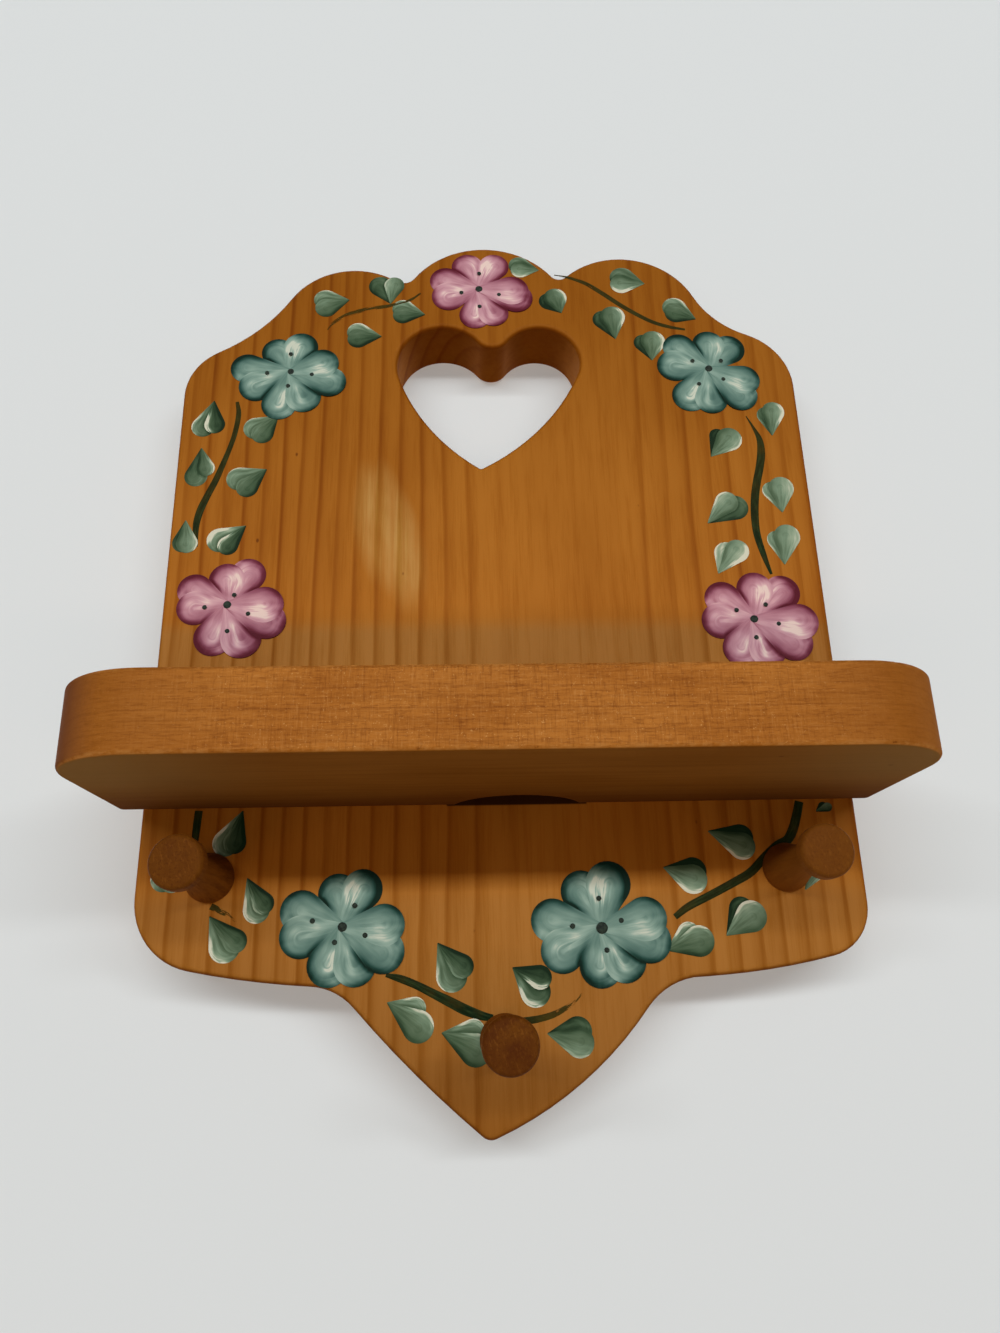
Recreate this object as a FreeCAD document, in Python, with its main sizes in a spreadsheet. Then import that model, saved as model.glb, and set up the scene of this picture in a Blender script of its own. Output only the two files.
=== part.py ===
import FreeCAD, Part
import math
import os
from types import SimpleNamespace

import Sketcher

# A small pine wall shelf: a scroll-sawn back board with a heart cut through it, a shelf board
# fixed across it, three turned pegs below, and a sawtooth hanger let into the back.
# +X is to the right, +Z is up and the front faces -Y. The back of the board lies in Y = 0,
# the top of the shelf in Z = 0, and X = 0 halfway across the board. Lengths are millimetres.

SIZES = {
    # The back board, a dressed one-by-eight. Its rise and drop start at the top of the shelf.
    "board_width": 184.0,
    "board_thickness": 18.5,
    "board_rise": 160.4,
    "board_drop": 96.9,
    "board_front_round": 1.4,
    "board_back_round": 1.0,
    # The sawn outline above the shelf: shoulder, ogee, lobe and notch on each side of the crest.
    "left_shoulder_radius": 17.2,
    "left_ogee_radius": 54.0,
    "left_lobe_radius": 23.0,
    "left_notch_radius": 3.8,
    "crest_radius": 27.1,
    "right_notch_radius": 2.8,
    "right_lobe_radius": 25.1,
    "right_ogee_radius": 27.9,
    "right_shoulder_radius": 20.0,
    # The outline below the shelf: foot, hem, hollow and flank on each side of the point.
    "left_foot_radius": 18.1,
    "left_hem_radius": 214.0,
    "left_hollow_radius": 15.9,
    "left_flank_radius": 276.0,
    "point_radius": 3.3,
    "right_flank_radius": 90.0,
    "right_hollow_radius": 18.3,
    "right_hem_radius": 176.0,
    "right_foot_radius": 13.1,
    # The heart, sawn right through the board.
    "heart_width": 55.6,
    "heart_height": 49.2,
    "heart_shift": -1.2,
    "heart_left_side_radius": 60.5,
    "heart_right_side_radius": 66.5,
    "heart_notch_radius": 5.5,
    "heart_point_radius": 1.0,
    # The shelf board. It is a little wider than the back board and set a little to the left.
    "shelf_width": 193.3,
    "shelf_depth": 58.2,
    "shelf_thickness": 18.5,
    "shelf_shift": -0.9,
    "shelf_front_radius": 21.3,
    "shelf_rear_radius": 1.6,
    "shelf_edge_round": 1.1,
    # The half-round hollow in the shelf's lower rear edge.
    "scoop_radius": 17.2,
    "scoop_reach": 12.0,
    "scoop_height": 9.0,
    "scoop_shift": 3.5,
    # The turned pegs: base, waist and mushroom head outside, a tenon in the board.
    "peg_length": 30.8,
    "peg_base_radius": 6.1,
    "peg_base_land": 0.9,
    "peg_waist_radius": 3.5,
    "peg_flare_bend": 90.0,
    "peg_neck_length": 5.0,
    "peg_neck_bend": 4.6,
    "peg_head_radius": 6.2,
    "peg_head_height": 4.2,
    "peg_rim_land": 2.5,
    "peg_crown_inset": 0.9,
    "peg_crown_bend": 1.3,
    "peg_dome_height": 0.4,
    "peg_tenon_radius": 3.15,
    "peg_tenon_length": 13.0,
    "peg_tenon_chamfer": 0.6,
    "peg_fit_clearance": 0.05,
    "peg_bore_spare": 0.6,
    "left_peg_inset": 18.4,
    "right_peg_inset": 20.1,
    "side_peg_drop": 17.3,
    "center_peg_shift": -0.8,
    "center_peg_rise": 21.7,
    # The two wood screws, driven from the back through the board into the shelf's rear edge.
    "screw_length": 38.0,
    "screw_radius": 2.1,
    "screw_head_radius": 4.0,
    "screw_head_rim": 0.4,
    "screw_head_sink": 0.3,
    "screw_point_length": 6.0,
    "screw_tip_radius": 0.3,
    "screw_drive_width": 1.1,
    "screw_drive_reach": 2.1,
    "screw_drive_depth": 1.8,
    "screw_hole_clearance": 0.25,
    "screw_fit_clearance": 0.05,
    "screw_pilot_spare": 1.5,
    # The sawtooth hanger and the recess routed for it in the back, so that nothing stands proud.
    "recess_length": 43.0,
    "recess_height": 12.0,
    "recess_depth": 2.7,
    "recess_shift": -3.0,
    "hanger_length": 35.0,
    "hanger_height": 7.0,
    "hanger_thickness": 0.8,
    "hanger_lift": 1.2,
    "hanger_tab_length": 7.5,
    "hanger_ramp_length": 1.1,
    "hanger_end_radius": 2.4,
    "tooth_width": 2.2,
    "tooth_depth": 1.7,
    "tooth_pitch": 2.4,
    "tooth_count": 6,
    # The brads that hold the hanger.
    "nail_length": 9.5,
    "nail_radius": 0.7,
    "nail_head_radius": 1.6,
    "nail_head_height": 0.7,
    "nail_head_rim": 0.3,
    "nail_point_length": 1.6,
    "nail_tip_radius": 0.1,
    "nail_fit_clearance": 0.05,
    "nail_hole_spare": 0.5,
    # How far a cutter runs past the wood.
    "overrun": 5.0,
}

# Centres of the outline's rounds. Across is a share of half the board's width, and up or down
# is a share of the board's rise or drop.
LEFT_SHOULDER_HEIGHT_SHARE = 0.660
RIGHT_SHOULDER_HEIGHT_SHARE = 0.683
LEFT_LOBE_SHARES = (-0.461, 0.803)
RIGHT_LOBE_SHARES = (0.448, 0.822)
CREST_ACROSS_SHARE = -0.022
LEFT_FOOT_DROP_SHARE = 0.415
RIGHT_FOOT_DROP_SHARE = 0.462
LEFT_HOLLOW_SHARES = (-0.533, 0.804)
RIGHT_HOLLOW_SHARES = (0.529, 0.826)
POINT_ACROSS_SHARE = -0.048

# The heart: where its top lies in the board's rise, and its lobes and point by its own width.
HEART_TOP_SHARE = 0.810
HEART_LEFT_LOBE_SHARE = 0.248
HEART_RIGHT_LOBE_SHARE = 0.220
HEART_POINT_ACROSS_SHARE = -0.052

# The hanger's height in the board's rise, and the screws' places in half the board's width.
HANGER_HEIGHT_SHARE = 0.867
SCREW_ACROSS_SHARE = 0.60
# How much longer the outer face of a bend in the hanger is, by the strip's thickness.
BEND_SHARE = 0.45

SAME_PLACE = 0.001  # two places closer than this are one

document = FreeCAD.newDocument("wall_shelf")


class Size:
    """A length, and the formula that ties it to the sheet of sizes."""

    def __init__(self, value, formula):
        self.value = value
        self.formula = formula

    def __add__(self, other):
        return Size(self.value + other.value, f"({self.formula} + {other.formula})")

    def __sub__(self, other):
        return Size(self.value - other.value, f"({self.formula} - {other.formula})")

    def __mul__(self, other):
        value, formula = amount(other)
        return Size(self.value * value, f"({self.formula} * {formula})")

    def __truediv__(self, other):
        value, formula = amount(other)
        return Size(self.value / value, f"({self.formula} / {formula})")

    def __neg__(self):
        return Size(-self.value, f"(-{self.formula})")


def amount(other):
    """The value and the formula of a size, or of a plain number."""
    if isinstance(other, Size):
        return other.value, other.formula
    return other, str(other)


ZERO = Size(0, "0")


def write_sheet():
    """The sheet of sizes, one named cell to a row."""
    sheet = document.addObject("Spreadsheet::Sheet", "Sizes")
    for row, (name, value) in enumerate(SIZES.items(), start=1):
        sheet.set(f"A{row}", name)
        sheet.set(f"B{row}", str(value))
        sheet.setAlias(f"B{row}", name)
    document.recompute()
    return SimpleNamespace(**{name: Size(value, f"Sizes.{name}") for name, value in SIZES.items()})


s = write_sheet()


# Sketches: rounds, the blends between them, straight runs, and circles

def new_sketch(body, name, role, lift=None):
    """A sketch on one of the body's own planes, lifted along the plane's normal."""
    plane = next(item for item in body.Origin.OriginFeatures if item.Role == role)
    sketch = body.newObject("Sketcher::SketchObject", name)
    sketch.AttachmentSupport = [(plane, "")]
    sketch.MapMode = "FlatFace"
    if lift is not None:
        sketch.setExpression("AttachmentOffset.Base.z", lift.formula)
    return sketch


def constrain(sketch, kind, *places, size=None):
    """Add one constraint, and tie it to the sheet where it has a size."""
    values = [] if size is None else [size.value]
    index = sketch.addConstraint(Sketcher.Constraint(kind, *places, *values))
    if size is not None:
        sketch.setExpression(f"Constraints[{index}]", size.formula)


def pin(sketch, geometry, end, across, up):
    """Hold one point of a piece of geometry at its place."""
    constrain(sketch, "DistanceX", geometry, end, size=across)
    constrain(sketch, "DistanceY", geometry, end, size=up)


def circle(sketch, across, up, radius):
    """A circle round a pinned centre."""
    center = FreeCAD.Vector(across.value, up.value, 0)
    index = sketch.addGeometry(Part.Circle(center, FreeCAD.Vector(0, 0, 1), radius.value))
    pin(sketch, index, 3, across, up)
    constrain(sketch, "Radius", index, size=radius)


class Round:
    """An arc with a pinned centre. Bulge is 1 where the loop turns left, -1 where it turns right."""

    def __init__(self, across, up, radius, bulge=1):
        self.place = (across, up)
        self.radius = radius
        self.reach = bulge * radius.value
        self.center = FreeCAD.Vector(across.value, up.value, 0)


class Blend:
    """An arc that runs on smoothly from the round before it into the round after it."""

    def __init__(self, radius, bulge=1):
        self.place = None
        self.radius = radius
        self.reach = bulge * radius.value

    def settle(self, before, after):
        """Find the centre that touches both rounds, and the two points where it does."""
        first = abs(self.reach - before.reach)
        second = abs(self.reach - after.reach)
        line = after.center - before.center
        along = (first ** 2 - second ** 2 + line.Length ** 2) / (2 * line.Length)
        aside = math.copysign(math.sqrt(first ** 2 - along ** 2), self.reach)
        line.normalize()
        self.center = before.center + line * along + FreeCAD.Vector(-line.y, line.x, 0) * aside
        back = before.reach / (self.reach - before.reach)
        on = after.reach / (self.reach - after.reach)
        self.start = before.center - (self.center - before.center) * back
        self.finish = after.center - (self.center - after.center) * on


class Run:
    """A straight line that runs on smoothly from the round before it into the round after it."""

    reach = None

    def settle(self, before, after):
        line = after.center - before.center
        tilt = math.asin((before.reach - after.reach) / line.Length)
        line.normalize()
        right = FreeCAD.Vector(line.y, -line.x, 0)
        outward = right * math.cos(tilt) + line * math.sin(tilt)
        self.start = before.center + outward * before.reach
        self.finish = after.center + outward * after.reach


def arc_between(stretch):
    """The arc from a stretch's start to its finish. Arcs are drawn counter-clockwise."""
    ends = [stretch.start, stretch.finish] if stretch.reach > 0 else [stretch.finish, stretch.start]
    first, last = [math.atan2(end.y - stretch.center.y, end.x - stretch.center.x) for end in ends]
    whole = Part.Circle(stretch.center, FreeCAD.Vector(0, 0, 1), abs(stretch.reach))
    return Part.ArcOfCircle(whole, first, last if last > first else last + 2 * math.pi)


def draw_loop(sketch, stretches):
    """Draw a closed loop, counter-clockwise, of rounds with a blend or a run between each two."""
    count = len(stretches)
    for index in range(1, count, 2):
        stretches[index].settle(stretches[index - 1], stretches[(index + 1) % count])
    for index in range(0, count, 2):
        stretches[index].start = stretches[index - 1].finish
        stretches[index].finish = stretches[index + 1].start
    drawn = []
    for stretch in stretches:
        if isinstance(stretch, Run):
            drawn.append(sketch.addGeometry(Part.LineSegment(stretch.start, stretch.finish)))
        else:
            drawn.append(sketch.addGeometry(arc_between(stretch)))
    for index, stretch in enumerate(stretches):
        following = stretches[(index + 1) % count]
        end = 1 if stretch.reach is not None and stretch.reach < 0 else 2
        begin = 2 if following.reach is not None and following.reach < 0 else 1
        constrain(sketch, "Tangent", drawn[index], end, drawn[(index + 1) % count], begin)
        if isinstance(stretch, Round):
            pin(sketch, drawn[index], 3, *stretch.place)
        if stretch.reach is not None:
            constrain(sketch, "Radius", drawn[index], size=stretch.radius)


def draw_profile(sketch, corners, bends=()):
    """Draw a closed profile through pinned corners. A bend (corner number, radius, side) makes
    the stretch that leaves that corner an arc, which swells to the right (1) or left (-1)."""
    count = len(corners)
    places = [FreeCAD.Vector(across.value, up.value, 0) for across, up in corners]
    arcs = {number: (radius, side) for number, radius, side in bends}
    drawn = []
    for index, place in enumerate(places):
        following = places[(index + 1) % count]
        if index not in arcs:
            drawn.append((sketch.addGeometry(Part.LineSegment(place, following)), 1, 2))
            continue
        radius, side = arcs[index]
        chord = following - place
        right = FreeCAD.Vector(chord.y, -chord.x, 0).normalize()
        inset = math.sqrt(radius.value ** 2 - (chord.Length / 2) ** 2)
        stretch = SimpleNamespace(start=place, finish=following, reach=side * radius.value)
        stretch.center = (place + following) / 2 - right * inset * side
        begin, end = (1, 2) if side > 0 else (2, 1)
        drawn.append((sketch.addGeometry(arc_between(stretch)), begin, end))
        constrain(sketch, "Radius", drawn[-1][0], size=radius)
    for index, (across, up) in enumerate(corners):
        geometry, begin, _ = drawn[index]
        previous, _, end = drawn[index - 1]
        constrain(sketch, "Coincident", previous, end, geometry, begin)
        pin(sketch, geometry, begin, across, up)


# Features: what a sketch becomes in its body

def feature(body, kind, name, sketch=None, **settings):
    """Add a feature to a body. A setting that is a Size is tied to the sheet."""
    made = body.newObject(f"PartDesign::{kind}", name)
    if sketch is not None:
        made.Profile = sketch
    for setting, value in settings.items():
        if isinstance(value, Size):
            made.setExpression(setting, value.formula)
        else:
            setattr(made, setting, value)
    document.recompute()
    return made


def through(body, name, sketch):
    """Cut a sketch right through the wood, from the back to the front."""
    return feature(body, "Pocket", name, sketch, Type="ThroughAll", Reversed=True)


def soften(body, kind, name, base, chosen, **settings):
    """Round or chamfer the edges of a feature that the test picks."""
    edges = [f"Edge{number}" for number, edge in enumerate(base.Shape.Edges, start=1) if chosen(edge)]
    return feature(body, kind, name, Base=(base, edges), **settings)


def lies_at(edge, axis, place):
    """Whether an edge lies wholly at one place along an axis."""
    low = getattr(edge.BoundBox, f"{axis}Min")
    high = getattr(edge.BoundBox, f"{axis}Max")
    return abs(low - place) < SAME_PLACE and abs(high - place) < SAME_PLACE


def new_body(name, across=ZERO, back=ZERO, up=ZERO):
    """A body that stands at a place worked out from the sheet."""
    body = document.addObject("PartDesign::Body", name)
    for direction, place in (("x", across), ("y", back), ("z", up)):
        if place is not ZERO:
            body.setExpression(f"Placement.Base.{direction}", place.formula)
    return body


# Places that more than one piece follows

half_width = s.board_width / 2
board_front = -s.board_thickness
shelf_bottom = -s.shelf_thickness
shelf_middle = -s.shelf_thickness / 2
screw_across = half_width * SCREW_ACROSS_SHARE
screw_places = {"left_screw": -screw_across, "right_screw": screw_across}
hanger_across = s.recess_shift
hanger_up = s.board_rise * HANGER_HEIGHT_SHARE
nail_reach = (s.hanger_length - s.hanger_tab_length) / 2
nail_places = {"left_nail": hanger_across - nail_reach, "right_nail": hanger_across + nail_reach}
peg_places = {
    "left_peg": (s.left_peg_inset - half_width, shelf_bottom - s.side_peg_drop),
    "right_peg": (half_width - s.right_peg_inset, shelf_bottom - s.side_peg_drop),
    "center_peg": (s.center_peg_shift, s.center_peg_rise - s.board_drop),
}


# The back board

def board_outline():
    """The outline from the left foot round the point, up the right side and over the crest."""
    def above(shares, radius):
        return Round(half_width * shares[0], s.board_rise * shares[1], radius)

    def below(shares, radius):
        return Round(half_width * shares[0], -s.board_drop * shares[1], radius, bulge=-1)

    left_foot = Round(s.left_foot_radius - half_width, -s.board_drop * LEFT_FOOT_DROP_SHARE,
                      s.left_foot_radius)
    right_foot = Round(half_width - s.right_foot_radius, -s.board_drop * RIGHT_FOOT_DROP_SHARE,
                       s.right_foot_radius)
    right_shoulder = Round(half_width - s.right_shoulder_radius, s.board_rise * RIGHT_SHOULDER_HEIGHT_SHARE,
                           s.right_shoulder_radius)
    left_shoulder = Round(s.left_shoulder_radius - half_width, s.board_rise * LEFT_SHOULDER_HEIGHT_SHARE,
                          s.left_shoulder_radius)
    return [
        left_foot,
        Blend(s.left_hem_radius),
        below(LEFT_HOLLOW_SHARES, s.left_hollow_radius),
        Blend(s.left_flank_radius),
        Round(half_width * POINT_ACROSS_SHARE, s.point_radius - s.board_drop, s.point_radius),
        Blend(s.right_flank_radius),
        below(RIGHT_HOLLOW_SHARES, s.right_hollow_radius),
        Blend(s.right_hem_radius),
        right_foot,
        Run(),
        right_shoulder,
        Blend(s.right_ogee_radius, bulge=-1),
        above(RIGHT_LOBE_SHARES, s.right_lobe_radius),
        Blend(s.right_notch_radius, bulge=-1),
        Round(half_width * CREST_ACROSS_SHARE, s.board_rise - s.crest_radius, s.crest_radius),
        Blend(s.left_notch_radius, bulge=-1),
        above(LEFT_LOBE_SHARES, s.left_lobe_radius),
        Blend(s.left_ogee_radius, bulge=-1),
        left_shoulder,
        Run(),
    ]


def heart_outline():
    """The heart, from its left lobe down to the point and up to the right lobe."""
    top = s.board_rise * HEART_TOP_SHARE
    left_radius = s.heart_width * HEART_LEFT_LOBE_SHARE
    right_radius = s.heart_width * HEART_RIGHT_LOBE_SHARE
    left = s.heart_shift - s.heart_width / 2
    right = s.heart_shift + s.heart_width / 2
    point_up = top - s.heart_height + s.heart_point_radius
    return [
        Round(left + left_radius, top - left_radius, left_radius),
        Blend(s.heart_left_side_radius),
        Round(s.heart_shift + s.heart_width * HEART_POINT_ACROSS_SHARE, point_up, s.heart_point_radius),
        Blend(s.heart_right_side_radius),
        Round(right - right_radius, top - right_radius, right_radius),
        Blend(s.heart_notch_radius, bulge=-1),
    ]


def recess_outline():
    """The recess for the hanger, with the round ends that a router leaves."""
    radius = s.recess_height / 2
    reach = s.recess_length / 2 - radius
    return [Round(hanger_across - reach, hanger_up, radius), Run(),
            Round(hanger_across + reach, hanger_up, radius), Run()]


def make_back_board():
    """Saw the outline and the heart, round the edges, then bore and rout."""
    body = new_body("back_board")
    outline = new_sketch(body, "board_outline", "XZ_Plane")
    draw_loop(outline, board_outline())
    feature(body, "Pad", "board", outline, Length=s.board_thickness)

    heart = new_sketch(body, "heart_outline", "XZ_Plane")
    draw_loop(heart, heart_outline())
    sawn = through(body, "heart", heart)

    eased = soften(body, "Fillet", "front_round", sawn, lambda edge: lies_at(edge, "Y", board_front.value),
                   Radius=s.board_front_round)
    soften(body, "Fillet", "back_round", eased, lambda edge: lies_at(edge, "Y", 0),
           Radius=s.board_back_round)

    bores = new_sketch(body, "peg_bore_circles", "XZ_Plane", lift=s.board_thickness)
    for across, up in peg_places.values():
        circle(bores, across, up, s.peg_tenon_radius + s.peg_fit_clearance)
    feature(body, "Pocket", "peg_bores", bores, Length=s.peg_tenon_length + s.peg_bore_spare)

    recess = new_sketch(body, "recess_outline", "XZ_Plane")
    draw_loop(recess, recess_outline())
    feature(body, "Pocket", "hanger_recess", recess, Length=s.recess_depth, Reversed=True)

    nail_holes = new_sketch(body, "nail_hole_circles", "XZ_Plane", lift=s.recess_depth)
    for across in nail_places.values():
        circle(nail_holes, across, hanger_up, s.nail_radius + s.nail_fit_clearance)
    nail_depth = s.nail_length + s.nail_hole_spare
    feature(body, "Pocket", "nail_holes", nail_holes, Length=nail_depth, Reversed=True)

    hole_radius = s.screw_radius + s.screw_hole_clearance
    screw_holes = new_sketch(body, "screw_hole_circles", "XZ_Plane")
    for across in screw_places.values():
        circle(screw_holes, across, shelf_middle, hole_radius)
    drilled = through(body, "screw_holes", screw_holes)

    def is_screw_rim(edge):
        return lies_at(edge, "Y", 0) and abs(edge.BoundBox.XLength - 2 * hole_radius.value) < SAME_PLACE

    mouth_radius = s.screw_head_radius + s.screw_head_rim + s.screw_head_sink + s.screw_fit_clearance
    soften(body, "Chamfer", "countersinks", drilled, is_screw_rim, Size=mouth_radius - hole_radius)
    return body


# The shelf board

def make_shelf_board():
    """A plain board with two round front corners and a half-round hollow under its rear edge."""
    body = new_body("shelf_board")
    left = s.shelf_shift - s.shelf_width / 2
    right = s.shelf_shift + s.shelf_width / 2
    front = board_front - s.shelf_depth
    outline = new_sketch(body, "shelf_outline", "XY_Plane")
    draw_loop(outline, [
        Round(left + s.shelf_front_radius, front + s.shelf_front_radius, s.shelf_front_radius), Run(),
        Round(right - s.shelf_front_radius, front + s.shelf_front_radius, s.shelf_front_radius), Run(),
        Round(right - s.shelf_rear_radius, board_front - s.shelf_rear_radius, s.shelf_rear_radius), Run(),
        Round(left + s.shelf_rear_radius, board_front - s.shelf_rear_radius, s.shelf_rear_radius), Run(),
    ])
    sawn = feature(body, "Pad", "shelf", outline, Length=s.shelf_thickness, Reversed=True)

    def is_arris(edge):
        return lies_at(edge, "Z", 0) or lies_at(edge, "Z", shelf_bottom.value)

    soften(body, "Fillet", "shelf_round", sawn, is_arris, Radius=s.shelf_edge_round)

    scoop = new_sketch(body, "scoop_circle", "XY_Plane", lift=shelf_bottom)
    circle(scoop, s.scoop_shift, board_front - s.scoop_reach + s.scoop_radius, s.scoop_radius)
    feature(body, "Pocket", "scoop", scoop, Length=s.scoop_height, Reversed=True)

    pilots = new_sketch(body, "pilot_circles", "XZ_Plane", lift=s.board_thickness)
    for across in screw_places.values():
        circle(pilots, across, shelf_middle, s.screw_radius + s.screw_fit_clearance)
    depth = s.screw_length + s.screw_head_sink - s.board_thickness + s.screw_pilot_spare
    feature(body, "Pocket", "screw_pilots", pilots, Length=depth, Reversed=True)
    return body


# The turned and pointed pieces. Each profile lies beside the body's Y axis, with its outer end
# or point towards -Y.

def turn(body, corners, bends=()):
    """Turn a profile round the body's Y axis."""
    profile = new_sketch(body, f"{body.Label}_profile", "XY_Plane")
    draw_profile(profile, corners, bends)
    return feature(body, "Revolution", f"{body.Label}_turned", profile, ReferenceAxis=(profile, ["V_Axis"]))


def dome_bend(radius, height):
    """The bend of a dome of this radius and height that is level at its middle."""
    return (radius * radius / height + height) / 2


def make_peg(name):
    """A turned peg. Its shoulder stands on the board and its tenon fills the bore."""
    across, up = peg_places[name]
    body = new_body(name, across, board_front, up)
    rim = s.peg_head_height - s.peg_length
    waist = rim + s.peg_neck_length
    crown_radius = s.peg_head_radius - s.peg_crown_inset
    turn(body, [
        (ZERO, -s.peg_length),
        (crown_radius, s.peg_dome_height - s.peg_length),
        (s.peg_head_radius, rim - s.peg_rim_land),
        (s.peg_head_radius, rim),
        (s.peg_waist_radius, waist),
        (s.peg_base_radius, -s.peg_base_land),
        (s.peg_base_radius, ZERO),
        (s.peg_tenon_radius, ZERO),
        (s.peg_tenon_radius, s.peg_tenon_length - s.peg_tenon_chamfer),
        (s.peg_tenon_radius - s.peg_tenon_chamfer, s.peg_tenon_length),
        (ZERO, s.peg_tenon_length),
    ], bends=[
        (0, dome_bend(crown_radius, s.peg_dome_height), 1),
        (1, s.peg_crown_bend, 1),
        (3, s.peg_neck_bend, -1),
        (4, s.peg_flare_bend, -1),
    ])
    return body


def make_screw(name):
    """A countersunk wood screw with a cross recess, its head just under the board's back."""
    body = new_body(name, screw_places[name], -s.screw_head_sink, shelf_middle)
    cone_end = s.screw_radius - s.screw_head_radius - s.screw_head_rim
    turn(body, [
        (ZERO, -s.screw_length),
        (s.screw_tip_radius, -s.screw_length),
        (s.screw_radius, s.screw_point_length - s.screw_length),
        (s.screw_radius, cone_end),
        (s.screw_head_radius, -s.screw_head_rim),
        (s.screw_head_radius, ZERO),
        (ZERO, ZERO),
    ])
    slot = s.screw_drive_width / 2
    reach = s.screw_drive_reach
    drive = new_sketch(body, f"{name}_cross", "XZ_Plane")
    draw_profile(drive, [
        (-slot, -reach), (slot, -reach), (slot, -slot), (reach, -slot), (reach, slot), (slot, slot),
        (slot, reach), (-slot, reach), (-slot, slot), (-reach, slot), (-reach, -slot), (-slot, -slot),
    ])
    feature(body, "Pocket", f"{name}_drive", drive, Length=s.screw_drive_depth, Reversed=True)
    return body


def make_nail(name):
    """A brad with a low domed head, driven through one tab of the hanger."""
    body = new_body(name, nail_places[name], s.hanger_thickness - s.recess_depth, hanger_up)
    turn(body, [
        (ZERO, -s.nail_length),
        (s.nail_tip_radius, -s.nail_length),
        (s.nail_radius, s.nail_point_length - s.nail_length),
        (s.nail_radius, ZERO),
        (s.nail_head_radius, ZERO),
        (s.nail_head_radius, s.nail_head_rim),
        (ZERO, s.nail_head_height),
    ], bends=[
        (5, dome_bend(s.nail_head_radius, s.nail_head_height - s.nail_head_rim), 1),
    ])
    return body


# The sawtooth hanger

def make_hanger():
    """A steel strip, bowed off the wood between its two tabs, with teeth along its lower edge."""
    body = new_body("sawtooth_hanger", hanger_across, -s.recess_depth, hanger_up)
    end = s.hanger_length / 2
    foot = end - s.hanger_tab_length
    crown = foot - s.hanger_ramp_length
    bend = s.hanger_thickness * BEND_SHARE
    under = [(end, ZERO), (foot, ZERO), (crown, s.hanger_lift)]
    over = [(crown + bend, s.hanger_lift + s.hanger_thickness), (foot + bend, s.hanger_thickness),
            (end, s.hanger_thickness)]
    half = under + [(-across, back) for across, back in reversed(under)]
    other_half = [(-across, back) for across, back in reversed(over)] + over
    strip = new_sketch(body, "hanger_strip", "XY_Plane")
    draw_profile(strip, half + other_half)
    bowed = feature(body, "Pad", "hanger_bowed", strip, Length=s.hanger_height, Midplane=True)

    def is_corner(edge):
        upright = abs(edge.BoundBox.YLength - s.hanger_thickness.value) < SAME_PLACE
        return upright and (lies_at(edge, "X", -end.value) or lies_at(edge, "X", end.value))

    soften(body, "Fillet", "hanger_ends", bowed, is_corner, Radius=s.hanger_end_radius)

    holes = new_sketch(body, "tab_hole_circles", "XZ_Plane")
    for across in (-nail_reach, nail_reach):
        circle(holes, across, ZERO, s.nail_radius + s.nail_fit_clearance)
    feature(body, "Pocket", "tab_holes", holes, Type="ThroughAll")

    row = s.tooth_pitch * (SIZES["tooth_count"] - 1)
    first = -row / 2
    low = -s.hanger_height / 2
    notch = new_sketch(body, "tooth_notch", "XZ_Plane")
    draw_profile(notch, [
        (first - s.tooth_width / 2, low),
        (first - s.tooth_width / 2, low - s.overrun),
        (first + s.tooth_width / 2, low - s.overrun),
        (first + s.tooth_width / 2, low),
        (first, low + s.tooth_depth),
    ])
    cut = feature(body, "Pocket", "first_notch", notch, Type="ThroughAll")
    teeth = body.newObject("PartDesign::LinearPattern", "teeth")
    teeth.Originals = [cut]
    teeth.Direction = (notch, ["H_Axis"])
    teeth.setExpression("Length", row.formula)
    teeth.setExpression("Occurrences", s.tooth_count.formula)
    body.Tip = teeth
    document.recompute()
    return body


def check(bodies):
    """Stop if any object of the document failed, or any piece isn't one sound solid."""
    for item in document.Objects:
        if {"Invalid", "Error"} & set(item.State):
            raise RuntimeError(f"{item.Label} failed: {item.State}")
    for body in bodies:
        shape = body.Shape
        if shape.isNull() or not shape.isValid() or len(shape.Solids) != 1:
            raise RuntimeError(f"{body.Label} isn't one sound solid")


def write(bodies):
    """Write each piece to its own file, and print its size."""
    os.makedirs("parts", exist_ok=True)
    for body in bodies:
        body.Shape.exportStep(f"parts/{body.Label}.step")
        box = body.Shape.optimalBoundingBox()
        print(f"{body.Label:16} {body.Shape.Volume:10.1f} mm3  x {box.XMin:.2f} to {box.XMax:.2f}"
              f"  y {box.YMin:.2f} to {box.YMax:.2f}  z {box.ZMin:.2f} to {box.ZMax:.2f}")


pieces = [make_back_board(), make_shelf_board()]
pieces += [make_peg(name) for name in peg_places]
pieces += [make_screw(name) for name in screw_places]
pieces += [make_hanger()]
pieces += [make_nail(name) for name in nail_places]
document.recompute()
check(pieces)
write(pieces)
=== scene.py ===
# %% [markdown]
# # A painted wall shelf with pegs
# The real object is a small pine back board, sawn to a wavy outline with a heart cut through it. A thick
# little shelf is screwed to its front, three turned pegs are glued into it, and flowers are painted round
# the rim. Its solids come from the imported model, at their real size and place, so this lesson only dresses
# them in wood, steel and paint.

# %% Load the fixed frame
import math
from collections import namedtuple

import bpy
import numpy as np
from mathutils import Matrix, Vector


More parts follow.
